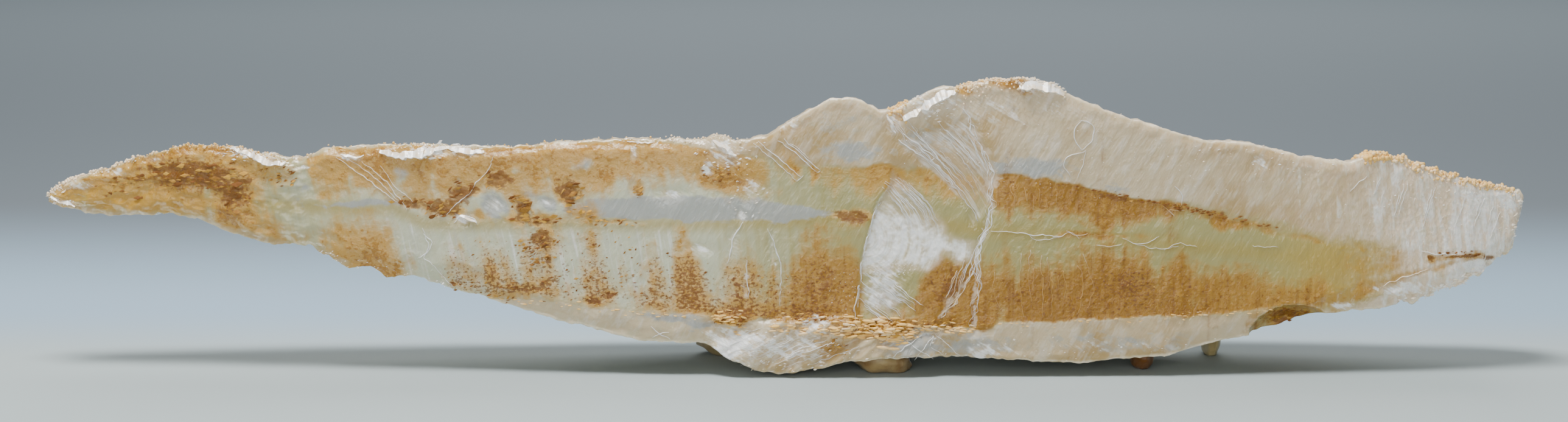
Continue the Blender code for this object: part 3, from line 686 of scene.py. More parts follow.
def fields(x, y, z):
    """What the material reads at each point: distances in mm to the zone lines, and how strong each stain
    is."""
    wander_x = x + 1.2 * rough(x / 6, 0.1, z / 4, seed=21, octaves=4)
    wander_z = z + 0.9 * rough(x / 6, 0.6, z / 4, seed=22, octaves=4)
    low, high = along(LOWER_EDGE, x), along(UPPER_EDGE, x)
    behind = y - front_plane(x)
    over_seam = z - along(SEAM, x)
    above = wander_z - along(PHANTOM_LOWER, x)
    below = along(PHANTOM_UPPER, x) - wander_z
    hollow = dome(x, z, *SCOOP[:2])
    inside = np.minimum(np.minimum(above, below) / along(BLURRED, x), along(INSIDE_AT_MOST, x))
    inside = np.maximum(inside, 20 * ease(0.0, 0.2, hollow) - 0.8)

    streak = x + along(LEAN, x) * (z - 38)
    settled = np.maximum(band(UPPER_CLAY, streak, below), band(LOWER_CLAY, streak, above))
    clay = np.clip(union(CLAY, wander_x, wander_z) + settled, 0, 1.3)
    clay = clay * (1 - union(WINDOWS, wander_x, wander_z))
    pale = along(PALE, x)
    smoke = clay * (1 - 0.30 * pale * ease(3.0, -2.0, over_seam))
    speck = np.maximum(ease(-104, -84, x) * ease(18, -10, x), blot(x, z, (90, 25), (10, 10)))
    amber = along(AMBER, x) * np.where(over_seam < 0, 1.0, np.interp(x, (40, 56), (0.0, 0.9)))

    haze = union(HAZE, wander_x, wander_z)
    for outline in (SPINDLE, SMALL_SPINDLE):
        haze = np.maximum(haze, ease(-0.4, 1.8, inside_distance(outline, wander_x, wander_z)))
    veils = 0.5 + 0.5 * rough(x / 16, y / 12, z / 12, seed=23, octaves=4)
    milky_foot = ease(0.3, -0.8, above) * ease(-100, -85, x) * ease(-14, -24, x)
    # The fin is paler towards its crest, from x 20 to 130.
    paler_crest = 0.9 * ease(14, 3, high - z) * ease(20, 35, x) * ease(130, 90, x)

    crack = np.minimum(distance_to(MAIN_CRACK, wander_x, z), distance_to(CRACK_FORK, wander_x, z))
    near_front = ease(15, 9, behind)
    fan_outline = np.array(FAN_LOW + FAN_TOP[::-1])
    fan = near_front * ease(-1.5, 1.5, inside_distance(fan_outline, wander_x, wander_z))
    scar = near_front * ease(-1.8, 2.6, inside_distance(SCAR, wander_x, wander_z))
    scar = scar * ease(-0.4, 0.3, x - along(STEP_EDGE, z))
    frost = union(FROST, wander_x, wander_z)
    # rim: the worn edges, and along the top edge a painted highlight as well.
    rim = ease(along(WORN_WIDTH, x), 0.1, np.minimum(high - z, z - low)) * ease(9.0, 1.0, behind)
    rim = rim * (0.7 + 0.5 * rough(x / 3, y / 3, z / 3, seed=24))
    return {
        "phantom": np.clip(inside, -30, 30),
        "seam": over_seam,
        "crack": np.minimum(crack / along(VEIN_WIDTH, z), 20),
        "streak": streak,
        "arc": np.hypot(x - SCAR_CENTRE[0], z - SCAR_CENTRE[1]),
        "sweep": np.hypot(x - FAN_CENTRE[0], z - FAN_CENTRE[1]),
        "fan": fan,
        "clay": clay,
        "smoke": smoke + 0.5 * blot(x, z, (-166, 44.5), (18, 4.5)),
        "rust": union(RUST, wander_x, wander_z),
        "speck": speck * ease(0.2, 1.0, inside) * ease(22, 10, above),
        "frost": frost * ease(9, 4, behind + 2.5 * rough(x / 5, y / 5, 0.5, seed=25)),
        "scar": scar * (0.45 + 0.55 * ease(45, 39, z + 0.25 * (x - 30))),
        "haze": haze,
        "pale": pale,
        "amber": amber + 0.75 * blot(x, z, (-153, 49.5), (19, 6.5)),
        "cloud": np.maximum(veils, milky_foot + paler_crest),
        "rim": rim * np.where(high - z < z - low, along(WORN_AND_HIGHLIT_ABOVE, x), along(WORN_BELOW, x)),
        "back": ease(2.5, 6.0, behind) * ease(0.2, 0.0, hollow),
    }


# --------------------------------------------------------------------------------------------------
# Meshes from arrays
# --------------------------------------------------------------------------------------------------


def tube_faces(stations, ring):
    """Quads between neighbouring rings of a closed tube, and triangles to a pole at each end."""
    i = np.arange(stations - 1)[:, None]
    j = np.arange(ring)[None, :]
    after = (j + 1) % ring
    quads = np.stack((i * ring + j, i * ring + after, (i + 1) * ring + after, (i + 1) * ring + j), axis=2)
    first, last = stations * ring, stations * ring + 1
    edge = (stations - 1) * ring
    near = np.stack((np.full(ring, first), after[0], j[0]), axis=1)
    far = np.stack((np.full(ring, last), edge + j[0], edge + after[0]), axis=1)
    return [quads.reshape(-1, 4), np.concatenate((near, far))]


def capped(grid):
    """A grid of rings as a list of points, with the pole of each end ring, its middle, at the end of the
    list."""
    return np.concatenate((grid.reshape(-1, 3), grid[[0, -1]].mean(axis=1)))


def unit_ball(stations, ring):
    """A ball of radius 1: circles round X at the cosines of a half turn, and a pole at each end."""
    turn = (math.pi * np.arange(1, stations + 1) / (stations + 1))[:, None]
    round_x = (2 * math.pi * np.arange(ring) / ring)[None, :]
    flat = np.zeros_like(round_x)
    points = np.stack(
        (-np.cos(turn) + flat, -np.sin(turn) * np.cos(round_x), np.sin(turn) * np.sin(round_x)), axis=2
    )
    return np.concatenate((points.reshape(-1, 3), ((-1, 0, 0), (1, 0, 0)))), tube_faces(stations, ring)


def repeated(shape, centres, sizes, turns, tilts):
    """Copies of one small shape: each is stretched by its three sizes, turned about Y, then tilted about X,
    and moved to its centre. Returns all the points, all the faces, and the number of points in one copy."""
    points, faces = shape
    local = points[None] * sizes[:, None, :]
    sin_t, cos_t = np.sin(turns)[:, None], np.cos(turns)[:, None]
    x = local[..., 0] * cos_t + local[..., 2] * sin_t
    z = local[..., 2] * cos_t - local[..., 0] * sin_t
    sin_t, cos_t = np.sin(tilts)[:, None], np.cos(tilts)[:, None]
    y = local[..., 1] * cos_t - z * sin_t
    z = z * cos_t + local[..., 1] * sin_t
    placed = np.stack((x, y, z), axis=2) + centres[:, None, :]
    first = (np.arange(len(centres)) * len(points))[:, None, None]
    return placed, [(group[None] + first).reshape(-1, group.shape[1]) for group in faces], len(points)


def joined(parts):
    """Several (points, faces) pairs as one, each part's faces counting on from the points before it."""
    points, groups, count = [], [], 0
    for some_points, faces in parts:
        points.append(some_points)
        groups.extend(group + count for group in faces)
        count += len(some_points)
    return np.concatenate(points), groups


def mesh_object(name, points, faces, smooth=True):
    """An object made from points in mm and lists of faces given as arrays of point numbers."""
    mesh = bpy.data.meshes.new(name)
    corners = [face for group in faces for face in group.tolist()]
    mesh.from_pydata((np.asarray(points) * MM).tolist(), [], corners)
    mesh.update()
    if smooth:
        mesh.shade_smooth()
    made = bpy.data.objects.new(name, mesh)
    bpy.context.scene.collection.objects.link(made)
    return made


def store(piece, name, values):
    """Writes one number a point into the mesh for its material to read."""
    layer = piece.data.attributes.new(name, "FLOAT", "POINT")
    layer.data.foreach_set("value", np.asarray(values, np.float32).ravel())


def part_of_crystal(piece, material):
    """Gives a piece its material and makes it move with the crystal."""
    piece.data.materials.append(material)
    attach(piece, BODY)


def toned_piece(name, parts, tones, material, smooth=True):
    """Makes one piece of the crystal from its parts, each point with the tone that its material reads."""
    points, faces = joined(parts)
    piece = mesh_object(name, points, faces, smooth)
    store(piece, "tone", np.concatenate(tones))
    part_of_crystal(piece, material)


# --------------------------------------------------------------------------------------------------
# The pieces
# --------------------------------------------------------------------------------------------------


def crystal(look):
    """The blade itself: blade_grid as one closed surface, carrying the fields that its material reads."""
    grid = blade_grid()
    points = capped(grid)
    blade = mesh_object("crystal_blade", points, tube_faces(*grid.shape[:2]))
    found = fields(*points.T)
    for name, values in found.items():
        store(blade, name, values)
    part_of_crystal(blade, selenite_material(look, found.keys()))
    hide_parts(NODE)


def knobs(look):
    """The lumps it stands on: balls stretched to each lump's radii, pitted by noise, and flat on the
    floor."""
    parts, tones = [], []
    shape = unit_ball(26, 36)
    for (x, depth, z), radii, fall, tone in KNOBS:
        points = shape[0] * (1 + 0.10 * rough(*(shape[0].T * 2.2 + x), seed=51))[:, None]
        points = points * radii
        points = points + (x, FRONT_Y + depth, z) + (0, 0, fall) * points[:, :1]
        points[:, 2] = np.maximum(points[:, 2], LUMP_FOOT)
        parts.append((points, shape[1]))
        tones.append(np.full(len(points), tone))
    toned_piece("standing_lumps", parts, tones, lump_material(look))


def sealed_clay(look):
    """Flakes of clay inside the crystal: flat diamonds lying along X, strewn where the clay field is dense,
    most of them just behind the front face and fewer the deeper they are."""
    draw = np.random.default_rng(61)
    x, z = draw.uniform(-186, 170, CLAY_TRIES), draw.uniform(8, 60, CLAY_TRIES)
    thick = along(THICKNESS_ALONG, x)
    depth = 0.5 + draw.exponential(4.0, CLAY_TRIES)
    found = fields(x, np.full(CLAY_TRIES, FRONT_Y), z)
    streaky = 0.5 + 0.9 * rough(found["streak"] / 1.8, 0.5, z / 9, seed=62)
    wanted = np.clip(0.06 + found["clay"], 0, 1) * np.clip(streaky, 0, 1) * (found["phantom"] > 0.6)
    room = np.minimum(z - along(LOWER_EDGE, x), along(UPPER_EDGE, x) - z)
    kept = (draw.random(CLAY_TRIES) < wanted) & (depth < 0.5 * thick) & (room > 2.5)
    order = np.flatnonzero(kept)[: look.flake_count]
    x, z, depth = x[order], z[order], depth[order]
    count = len(order)
    long = draw.uniform(0.35, 1.0, count) * look.flake_length * 1000
    sizes = np.stack((0.5 * long, 0.12 * long, 0.16 * long + 0.05), axis=1)
    centres = np.stack((x, front_surface(x, z) + depth, z), axis=1)
    turns, tilts = draw.normal(0, 0.25, count), draw.normal(0, 0.5, count)
    placed, faces, each = repeated(unit_ball(1, 4), centres, sizes, turns, tilts)
    clay = mesh_object("sealed_clay", placed.reshape(-1, 3), faces, smooth=False)
    store(clay, "tone", np.repeat(draw.random(count), each))
    part_of_crystal(clay, clay_material(look))


def sealed_cracks(look):
    """Cracks that run into the crystal: thin closed slabs from just behind the front face to a set depth,
    which lean to one side as they go in, so that each shows beside its line as a pale ghost."""
    parts = []
    across = np.linspace(0, 1, 9)[None, :]
    for path, deep, lean in DEEP_CRACKS:
        line = smooth_path(path, DEEP_POINTS)
        x, z = line[:, :1], line[:, 1:]
        ragged = 1 + 0.35 * rough(z / 3, x / 3, 0.5, seed=71)
        sheet_x = x + lean * across * ragged + 0.5 * rough(x / 4, across * 2, z / 4, seed=72)
        sheet_y = front_surface(x, z) + 0.35 + deep * across * ragged
        sheet_z = z + 0.8 * across + np.zeros_like(sheet_x)
        near = np.stack((sheet_x, sheet_y, sheet_z), axis=2)
        far = near + (0.12, 0.0, 0.04)
        grid = np.concatenate((near, far[:, ::-1]), axis=1)
        parts.append((capped(grid), tube_faces(*grid.shape[:2])))
    points, faces = joined(parts)
    part_of_crystal(mesh_object("sealed_cracks", points, faces), crack_material(look, "sealed"))


def crack_lines():
    """Every fine crack on the front as (width, points): those listed one by one; those of each fan, whose
    lines step evenly from its first line to its last; and those that braid along a path, straying from it
    by smooth noise."""
    lines = list(CRACKS)
    draw = np.random.default_rng(81)
    for count, first, last, width in CRACK_FANS:
        first, last = smooth_path(first, FAN_POINTS), smooth_path(last, FAN_POINTS)
        for share in draw.uniform(0, 1, count):
            start = int(FAN_POINTS * draw.uniform(0.0, 0.4))
            stop = int(FAN_POINTS * draw.uniform(0.5, 1.0))
            line = first + share * (last - first) + draw.normal(0, 0.25, (1, 2))
            lines.append((width * draw.uniform(0.5, 1.4), line[start:stop]))
    for path, stray, count in CRACK_BRAIDS:
        path = smooth_path(path, BRAID_POINTS)
        for number in range(count):
            start = int(draw.uniform(0, 40))
            line = path[start : start + int(draw.uniform(14, 40))]
            offset = stray * rough(line[:, 1] / 3.0, number * 1.7, 0.5, seed=85)
            lines.append((draw.uniform(0.12, 0.42), line + np.stack((offset, 0 * offset), axis=1)))
    return lines


def cracks(look):
    """Fine white cracks on the front, and the wider glints: each is a flat four-sided tube along its
    wandering line, half sunk in the surface, with a width that swells and thins and runs out at both ends.
    Its ridge is set low by the share it stands proud, so that a glint is mostly one long face that looks up
    at the light."""
    corner = 2 * math.pi * np.arange(4)[None, :] / 4
    for name, lines, wander, proud, use in (
        ("fine_cracks", crack_lines(), 0.35, 0.1, "open"), ("glints", GLINTS, 0.5, 1.2, "chips"),
    ):
        parts = []
        for width, path in lines:
            path = np.asarray(path, float)
            length = np.hypot(*np.diff(path, axis=0).T).sum()
            line = smooth_path(path, max(6, int(length / 0.6)))
            x = line[:, 0] + wander * rough(line[:, 0] / 1.6, line[:, 1] / 1.6, 0.2, seed=82)
            z = line[:, 1] + wander * rough(line[:, 0] / 1.6, line[:, 1] / 1.6, 0.7, seed=83)
            run = np.gradient(np.stack((x, z), axis=1), axis=0)
            run = run / np.maximum(np.hypot(*run.T), 1e-6)[:, None]
            taper = np.sin(math.pi * np.linspace(0.04, 0.96, len(x))) ** 0.5
            half = 0.5 * width * look.crack_width * taper * (1 + 0.6 * rough(x, z, 0.4, seed=84))
            half = np.maximum(half, 0.04)[:, None]
            y = front_surface(x, z)[:, None] - 0.06 - (0.12 + proud * half) * np.cos(corner)
            x_all = x[:, None] - run[:, 1:] * half * np.sin(corner)
            z_all = z[:, None] + run[:, :1] * half * np.sin(corner) - 0.5 * proud * half * np.cos(corner)
            grid = np.stack((x_all, y, z_all), axis=2)
            parts.append((capped(grid), tube_faces(len(x), 4)))
        points, faces = joined(parts)
        piece = mesh_object(name, points, faces, smooth=use == "open")
        if use == "open":
            store(piece, "clay", np.where(points[:, 0] > 53, 0.9, 0.3) * fields(*points.T)["clay"])
        part_of_crystal(piece, crack_material(look, use))


def spots(grid, weight, count, draw):
    """Picks count points of the surface grid, the likelier the greater their weight."""
    points = grid.reshape(-1, 3)
    chance = np.broadcast_to(weight, grid.shape[:2]).ravel()
    return points[draw.choice(len(points), count, p=chance / chance.sum())]


def crust(look):
    """Granules of crust: balls of unlike sizes, dented by noise, crowded along the edges; those on the torn
    clay line are drawn out into ledges that lie along it."""
    grid = blade_grid()
    x, z = grid[..., 0], grid[..., 2]
    row = np.arange(grid.shape[1])[None, :]
    top = np.exp(-(((row - FRONT_POINTS - 2) / 4.5) ** 2))
    below = along(PHANTOM_LOWER, x) - z
    spread = np.interp(x, (-18, -8, 28, 36), (0.9, 2.2, 2.2, 0.7))
    torn = np.exp(-(((below - 0.8 * spread) / spread) ** 2)) * (row < FRONT_POINTS)
    draw = np.random.default_rng(91)
    parts, tones = [], []
    for centre, reach, line, count, size, tone in CRUST:
        near = ease(reach, 0.7 * reach, np.abs(x - centre)) * (top if line == "top" else torn)
        places = spots(grid, near, count, draw)
        places = places + draw.normal(0, 0.25, places.shape)
        scale = size * look.granule_size / 0.001 * draw.uniform(0.4, 1.0, count)
        sizes = scale[:, None] * draw.uniform(0.7, 1.2, (count, 3))
        turns, tilts = draw.uniform(0, math.pi, (2, count))
        if line == "torn":
            sizes = sizes * (2.4, 1.0, 0.6)
            turns, tilts = 0.12 * (turns - 1.5), 0.3 * (tilts - 1.5)
        placed, faces, each = repeated(unit_ball(3, 6), places, sizes, turns, tilts)
        dent = 1 + 0.3 * lumps(*(np.moveaxis(placed, 2, 0) / (0.7 * size)), seed=92)
        placed = places[:, None] + (placed - places[:, None]) * dent[..., None]
        placed[..., 2] = np.maximum(placed[..., 2], LOWEST)
        parts.append((placed.reshape(-1, 3), faces))
        tones.append(np.repeat(np.clip(tone + draw.normal(0, 0.15, count), 0, 1), each))
    toned_piece("crust_granules", parts, tones, crust_material(look))


def flakes(look):
    """Small flat flakes, half sunk in the surface and tipped every way: diamonds of six corners round,
    white where the crystal has chipped along its cleavage, and ochre to brown where clay lies open. Many of
    the white ones, on the top edges, the fin and the scar, are also painted glints and sparkle."""
    grid = blade_grid()
    x, z = grid[..., 0], grid[..., 2]
    front = np.arange(grid.shape[1])[None, :] < FRONT_POINTS
    gaps = {
        "upper": along(UPPER_EDGE, x) - z, "lower": z - along(LOWER_EDGE, x), "face": 0 * z,
        "border": 3 * (along(PHANTOM_UPPER, x) - z - 0.3),
    }
    draw = np.random.default_rng(95)
    for name, table, material in (
        ("cleavage_chips_and_painted_glints", CHIPS, crack_material(look, "chips")),
        ("clay_flakes", CLAY_FLAKES, clay_material(look)),
    ):
        parts, tones = [], []
        for centre, reach, edge, count, size, tone, *level in table:
            near = ease(1.0, 0.5, np.hypot((x - centre[0]) / reach[0], (z - centre[1]) / reach[1]))
            weight = near * front * np.exp(-((gaps[edge] / 1.6) ** 2)) + 1e-12 * front
            places = spots(grid, weight, count, draw)
            places = places + draw.normal(0, 0.2, places.shape) + (0, 0.1 * size, 0)
            scale = size * draw.uniform(0.3, 1.0, count)
            sizes = np.stack((scale, 0.12 * scale + 0.04, scale * draw.uniform(0.15, 0.6, count)), axis=1)
            turns = draw.normal(-0.35, 0.35, count) * (0.25 if level else 1.0)
            tilts = draw.normal(0, 0.45, count)
            placed, faces, each = repeated(unit_ball(1, 6), places, sizes, turns, tilts)
            placed[..., 2] = np.maximum(placed[..., 2], LOWEST)
            parts.append((placed.reshape(-1, 3), faces))
            tones.append(np.repeat(np.clip(tone + draw.normal(0, 0.3, count), 0, 1), each))
        toned_piece(name, parts, tones, material, smooth=False)


# --------------------------------------------------------------------------------------------------
# Materials
# --------------------------------------------------------------------------------------------------


def linear(hex_colour):
    """An sRGB hex colour as linear red, green and blue."""
    whole = int(hex_colour.lstrip("#"), 16)
    parts = [((whole >> shift) & 255) / 255 for shift in (16, 8, 0)]
    return [p / 12.92 if p <= 0.04045 else ((p + 0.055) / 1.055) ** 2.4 for p in parts]


def adjust(tree, node, settings=None, links=None):
    """Sets a node's properties or unlinked inputs, and links (input: output socket) pairs."""
    for key, value in (settings or {}).items():
        if isinstance(key, str) and hasattr(node, key):
            setattr(node, key, value)
        else:
            node.inputs[key].default_value = value
    for key, source in (links or {}).items():
        tree.links.new(source, node.inputs[key])
    return node


def add(tree, kind, settings=None, links=None):
    """Adds a node and adjusts it."""
    return adjust(tree, tree.nodes.new(kind), settings, links)


def new_material(name):
    """A node material that starts as one shader: (material, its node tree, its shader, its output)."""
    material = bpy.data.materials.new(name)
    material.use_nodes = True
    nodes = material.node_tree.nodes
    return material, material.node_tree, nodes["Principled BSDF"], nodes["Material Output"]


# Selenite: its index of refraction, how strongly its face shines, how clear and how rough its milk is, how
# far red, green and blue light spread in it, as shares and in metres, and what its clear parts absorb.
GYPSUM_IOR = 1.52
GYPSUM_GLOSS = 0.35
MILK_CLEAR = 0.22
MILK_ROUGH = 0.20
LIGHT_SPREAD = (1.0, 0.8, 0.55)
SPREAD_REACH = 0.006
ABSORBED = {"Color": (0.88, 0.80, 0.56, 1.0), "Density": 18.0}
# How high the grain of the dull, mottled materials stands, in metres.
GRAIN_HEIGHT = 0.0003
# Where along X the broken right end starts and where it is fullest, in mm.
END_FROM = 108.0
END_FULL = 180.0
# Noise patterns of the crystal, as (source of x, cells per mm along x, y and z, turn about Y, detail).
# Those that name an output in place of a detail are cells: facets fall from their middle to their border,
# as in crushed glass, and plates are each of one tone. Streaks are the growth lines of the phantom, 2 mm
# apart, columns the clay drawn up along them, 6 mm apart, and threads the clay drawn out finest. Grain is
# flakes of clay under 1 mm long, crumbs are stains and grains of every size from 2 mm down, and plates the
# clay's angular lumps. Wisps are veils in the milk, and strokes finer ones that lean; the whitish wisps are
# also a painted satin sheen. Silk is the torn foot's fibres, 33 degrees from level, arcs the bent cleavage
# of the scar, sweeps that of the fan on the fin, and fibres those of the broken right end. The white and
# beige streaks that silk and fibres make in the frost are those fibres, and they also paint the fibres'
# highlights and shade.
CRYSTAL_NOISE = {
    "streaks": ("streak", (0.55, 0.08, 0.05), 0.0, 4.0),
    "columns": ("streak", (0.17, 0.05, 0.02), 0.0, 3.0),
    "grain": ("x", (1.20, 1.0, 1.7), 0.12, 2.0),
    "crumbs": ("x", (0.50, 0.5, 0.60), 0.0, 6.0),
    "wisps": ("x", (0.50, 0.3, 0.14), -0.50, 5.0),
    "silk": ("x", (0.07, 0.4, 0.75), -0.58, 5.0),
    "arcs": ("arc", (0.9, 0.4, 0.09), 0.0, 4.0),
    "fibres": ("x", (0.50, 0.3, 0.10), 0.12, 5.0),
    "threads": ("streak", (0.9, 0.2, 0.07), 0.0, 5.0),
    "strokes": ("x", (1.10, 0.5, 0.20), -0.55, 3.0),
    "sweeps": ("sweep", (0.9, 0.4, 0.05), 0.0, 5.0),
    "facets": ("x", (1.10, 0.8, 0.80), 0.40, "Distance"),
    "plates": ("x", (0.40, 0.3, 0.85), -0.30, "Color"),
    "drift": ("x", (0.10, 0.2, 0.17), 0.5, 2.0),
}
# Sums of signals, each as (start, (signal, weight), ...): a border or a stain, roughened by the noise
# patterns.
CRYSTAL_SUMS = {
    "inside": (-0.6, ("phantom", 1.0), ("crumbs", 1.6)),
    "wash": (-1.88, ("smoke", 1.0), ("columns", 1.9), ("drift", 0.7), ("threads", 0.4), ("crumbs", 0.9)),
    "plated": (-1.75, ("rust", 1.1), ("clay", 0.35), ("plates", 1.0), ("crumbs", 0.8)),
    "stain": (-3.66, ("clay", 1.0), ("columns", 1.6), ("grain", 1.4), ("crumbs", 2.2), ("plates", 0.5)),
    "dark": (-2.42, ("clay", 0.4), ("rust", 0.9), ("crumbs", 2.2), ("grain", 1.4)),
    "speckled": (-3.60, ("speck", 0.7), ("clay", 0.6), ("columns", 1.4), ("grain", 3.6)),
    "bright": (-1.0, ("crumbs", 1.0), ("wisps", 1.0)),
    # White of the frost, streaked by silk: the streaks are the torn foot's fibres and also paint highlights
    # and shade on its ridges.
    "white": (-2.30, ("frost", 1.0), ("crumbs", 1.8), ("silk", 2.4)),
    "scarred": (-1.75, ("scar", 1.1), ("arcs", 1.2), ("crumbs", 1.2)),
    "vein": (-1.9, ("crack", 1.0), ("crumbs", 3.0), ("wisps", 1.0)),
    "greener": (-0.2, ("pale", 1.0), ("streaks", 0.4)),
    "hazy": (-0.58, ("haze", 1.0), ("crumbs", 0.8), ("plates", 0.36)),
    "broken": (-2.1, ("far_right", 0.9), ("fibres", 2.6), ("crumbs", 1.4)),
    "behind": (-0.3, ("back", 1.0), ("crumbs", 0.6)),
}
# Masks that several layers share: the older crystal, and its part that clay stains amber.
OLDER = ("inside", -0.8, 1.0, 1.0)
STAINED = (("wash", 0.15, 0.9, 0.9), ("amber", 0.1, 0.7, 1.0))
# Layers over the milk, each as (masks multiplied together, colour, see-through share, roughness). A mask is
# a signal or a sum, eased from 0 to its top as it goes from low to high.
CRYSTAL_LAYERS = (
    ((("cloud", 0.25, 0.85, 0.8),), "cloud_colour", 0.18, 0.24),
    # Whitish wisps in the milk: veils, and partly a painted satin sheen.
    ((("wisps", 0.50, 0.66, 0.24),), "frost_colour", 0.12, 0.16),
    ((("strokes", 0.50, 0.72, 0.13), ("x", 50.0, 100.0, 1.0), ("seam", 4.0, 14.0, 1.0)),
     "frost_colour", 0.10, 0.18),
    ((("crumbs", 0.53, 0.62, 0.14),), "end_colour", 0.12, 0.22),
    ((("far_right", 0.0, 1.0, 0.9),), "end_colour", 0.06, 0.30),
    # White of the broken right end: torn crystal, and partly painted highlights on its fibres.
    ((("broken", 0.40, 1.0, 0.9), ("far_right", 0.0, 0.5, 1.0)), "frost_colour", 0.04, 0.22),
    # Worn rim, and along the top edge a painted highlight.
    ((("rim", 0.1, 0.8, 0.9),), "rim_colour", 0.08, 0.30),
    ((OLDER,), "phantom_colour", 0.42, 0.12),
    ((OLDER, ("greener", 0.1, 0.75, 0.95)), "pale_colour", 0.42, 0.12),
    ((OLDER, ("streaks", 0.50, 0.75, 0.32), ("pale", 0.2, 0.8, 1.0)), "haze_colour", 0.40, 0.12),
    ((("inside", 0.0, 2.0, 1.0), ("pale", 0.5, 0.9, 1.0), ("seam", 0.5, -3.0, 1.0),
      ("threads", 0.5, 0.75, 0.8)), "frost_colour", 0.20, 0.14),
    ((OLDER, ("streaks", 0.48, 0.25, 0.09)), "seam_colour", 0.40, 0.14),
    ((OLDER, ("seam_gap", 3.6, 0.0, 0.65)), "seam_colour", 0.42, 0.16),
    ((OLDER, ("far_right", 0.10, 0.45, 0.90)), "seam_colour", 0.28, 0.16),
    ((OLDER, ("far_right", 0.25, 0.65, 0.55)), "gold_colour", 0.26, 0.16),
    ((("hazy", 0.20, 0.75, 0.9),), "haze_colour", 0.50, 0.10),
    ((("wash", 0.0, 0.9, 0.92), ("clay", 0.02, 0.15, 1.0)), "gold_colour", 0.16, 0.16),
    ((("stain", 0.20, 0.55, 0.85), ("clay", 0.03, 0.2, 1.0)), "clay_colour", 0.12, 0.28),
    ((("wash", 0.10, 1.0, 1.0), ("amber", 0.3, 0.9, 0.85)), "amber_colour", 0.12, 0.14),
    ((("stain", 0.2, 0.6, 1.0), ("bright", 0.05, 0.20, 0.60), ("clay", 0.03, 0.2, 1.0)),
     "gold_colour", 0.12, 0.26),
    ((("plated", 0.05, 0.35, 0.75),), "amber_colour", 0.10, 0.20),
    ((("plated", 0.45, 0.85, 0.40),), "rust_colour", 0.05, 0.30),
    ((*STAINED, ("threads", 0.53, 0.68, 0.50)), "rust_colour", 0.08, 0.20),
    ((("wash", 0.15, 0.9, 0.9), ("threads", 0.46, 0.34, 0.34)), "gold_colour", 0.12, 0.16),
    ((*STAINED, ("grain", 0.57, 0.68, 0.62)), "rust_colour", 0.06, 0.26),
    ((("rust", 0.2, 0.6, 1.0), ("amber", 0.3, 0.1, 1.0), ("plates", 0.60, 0.64, 0.6)),
     "crust_colour", 0.08, 0.22),
    ((("dark", 0.15, 0.50, 0.74),), "rust_colour", 0.05, 0.34),
    ((("speckled", 0.10, 0.40, 0.80),), "rust_colour", 0.06, 0.34),
    ((("behind", 0.1, 0.9, 0.62),), "cloud_colour", 0.14, 0.42),
    ((("frost", 0.10, 0.8, 0.45),), "rim_colour", 0.14, 0.26),
    ((("frost", 0.10, 0.4, 1.0), ("white", 0.10, 0.60, 0.92)), "frost_colour", 0.04, 0.18),
    ((("fan", 0.1, 0.9, 0.22),), "end_colour", 0.22, 0.14),
    ((("fan", 0.1, 0.9, 1.0), ("sweeps", 0.46, 0.72, 0.65)), "frost_colour", 0.08, 0.14),
    ((("scar", 0.05, 0.5, 0.50),), "end_colour", 0.20, 0.16),
    ((("scar", 0.05, 0.4, 1.0), ("scarred", -0.05, 0.7, 0.96)), "frost_colour", 0.04, 0.16),
    ((("vein", 0.9, 0.1, 0.6),), "end_colour", 0.12, 0.18),
)

# Relief under a mm high, as (where it is, its pattern, its weight).
CRYSTAL_RELIEF = (
    ("cloud", "crumbs", 0.6), ("clay", "crumbs", 1.1), ("frost", "silk", 3.2), ("frost", "facets", 0.8),
    ("scar", "arcs", 0.7), ("scar", "facets", 0.35), ("fan", "sweeps", 2.0), ("far_right", "fibres", 2.6),
    ("far_right", "facets", 0.5),
)


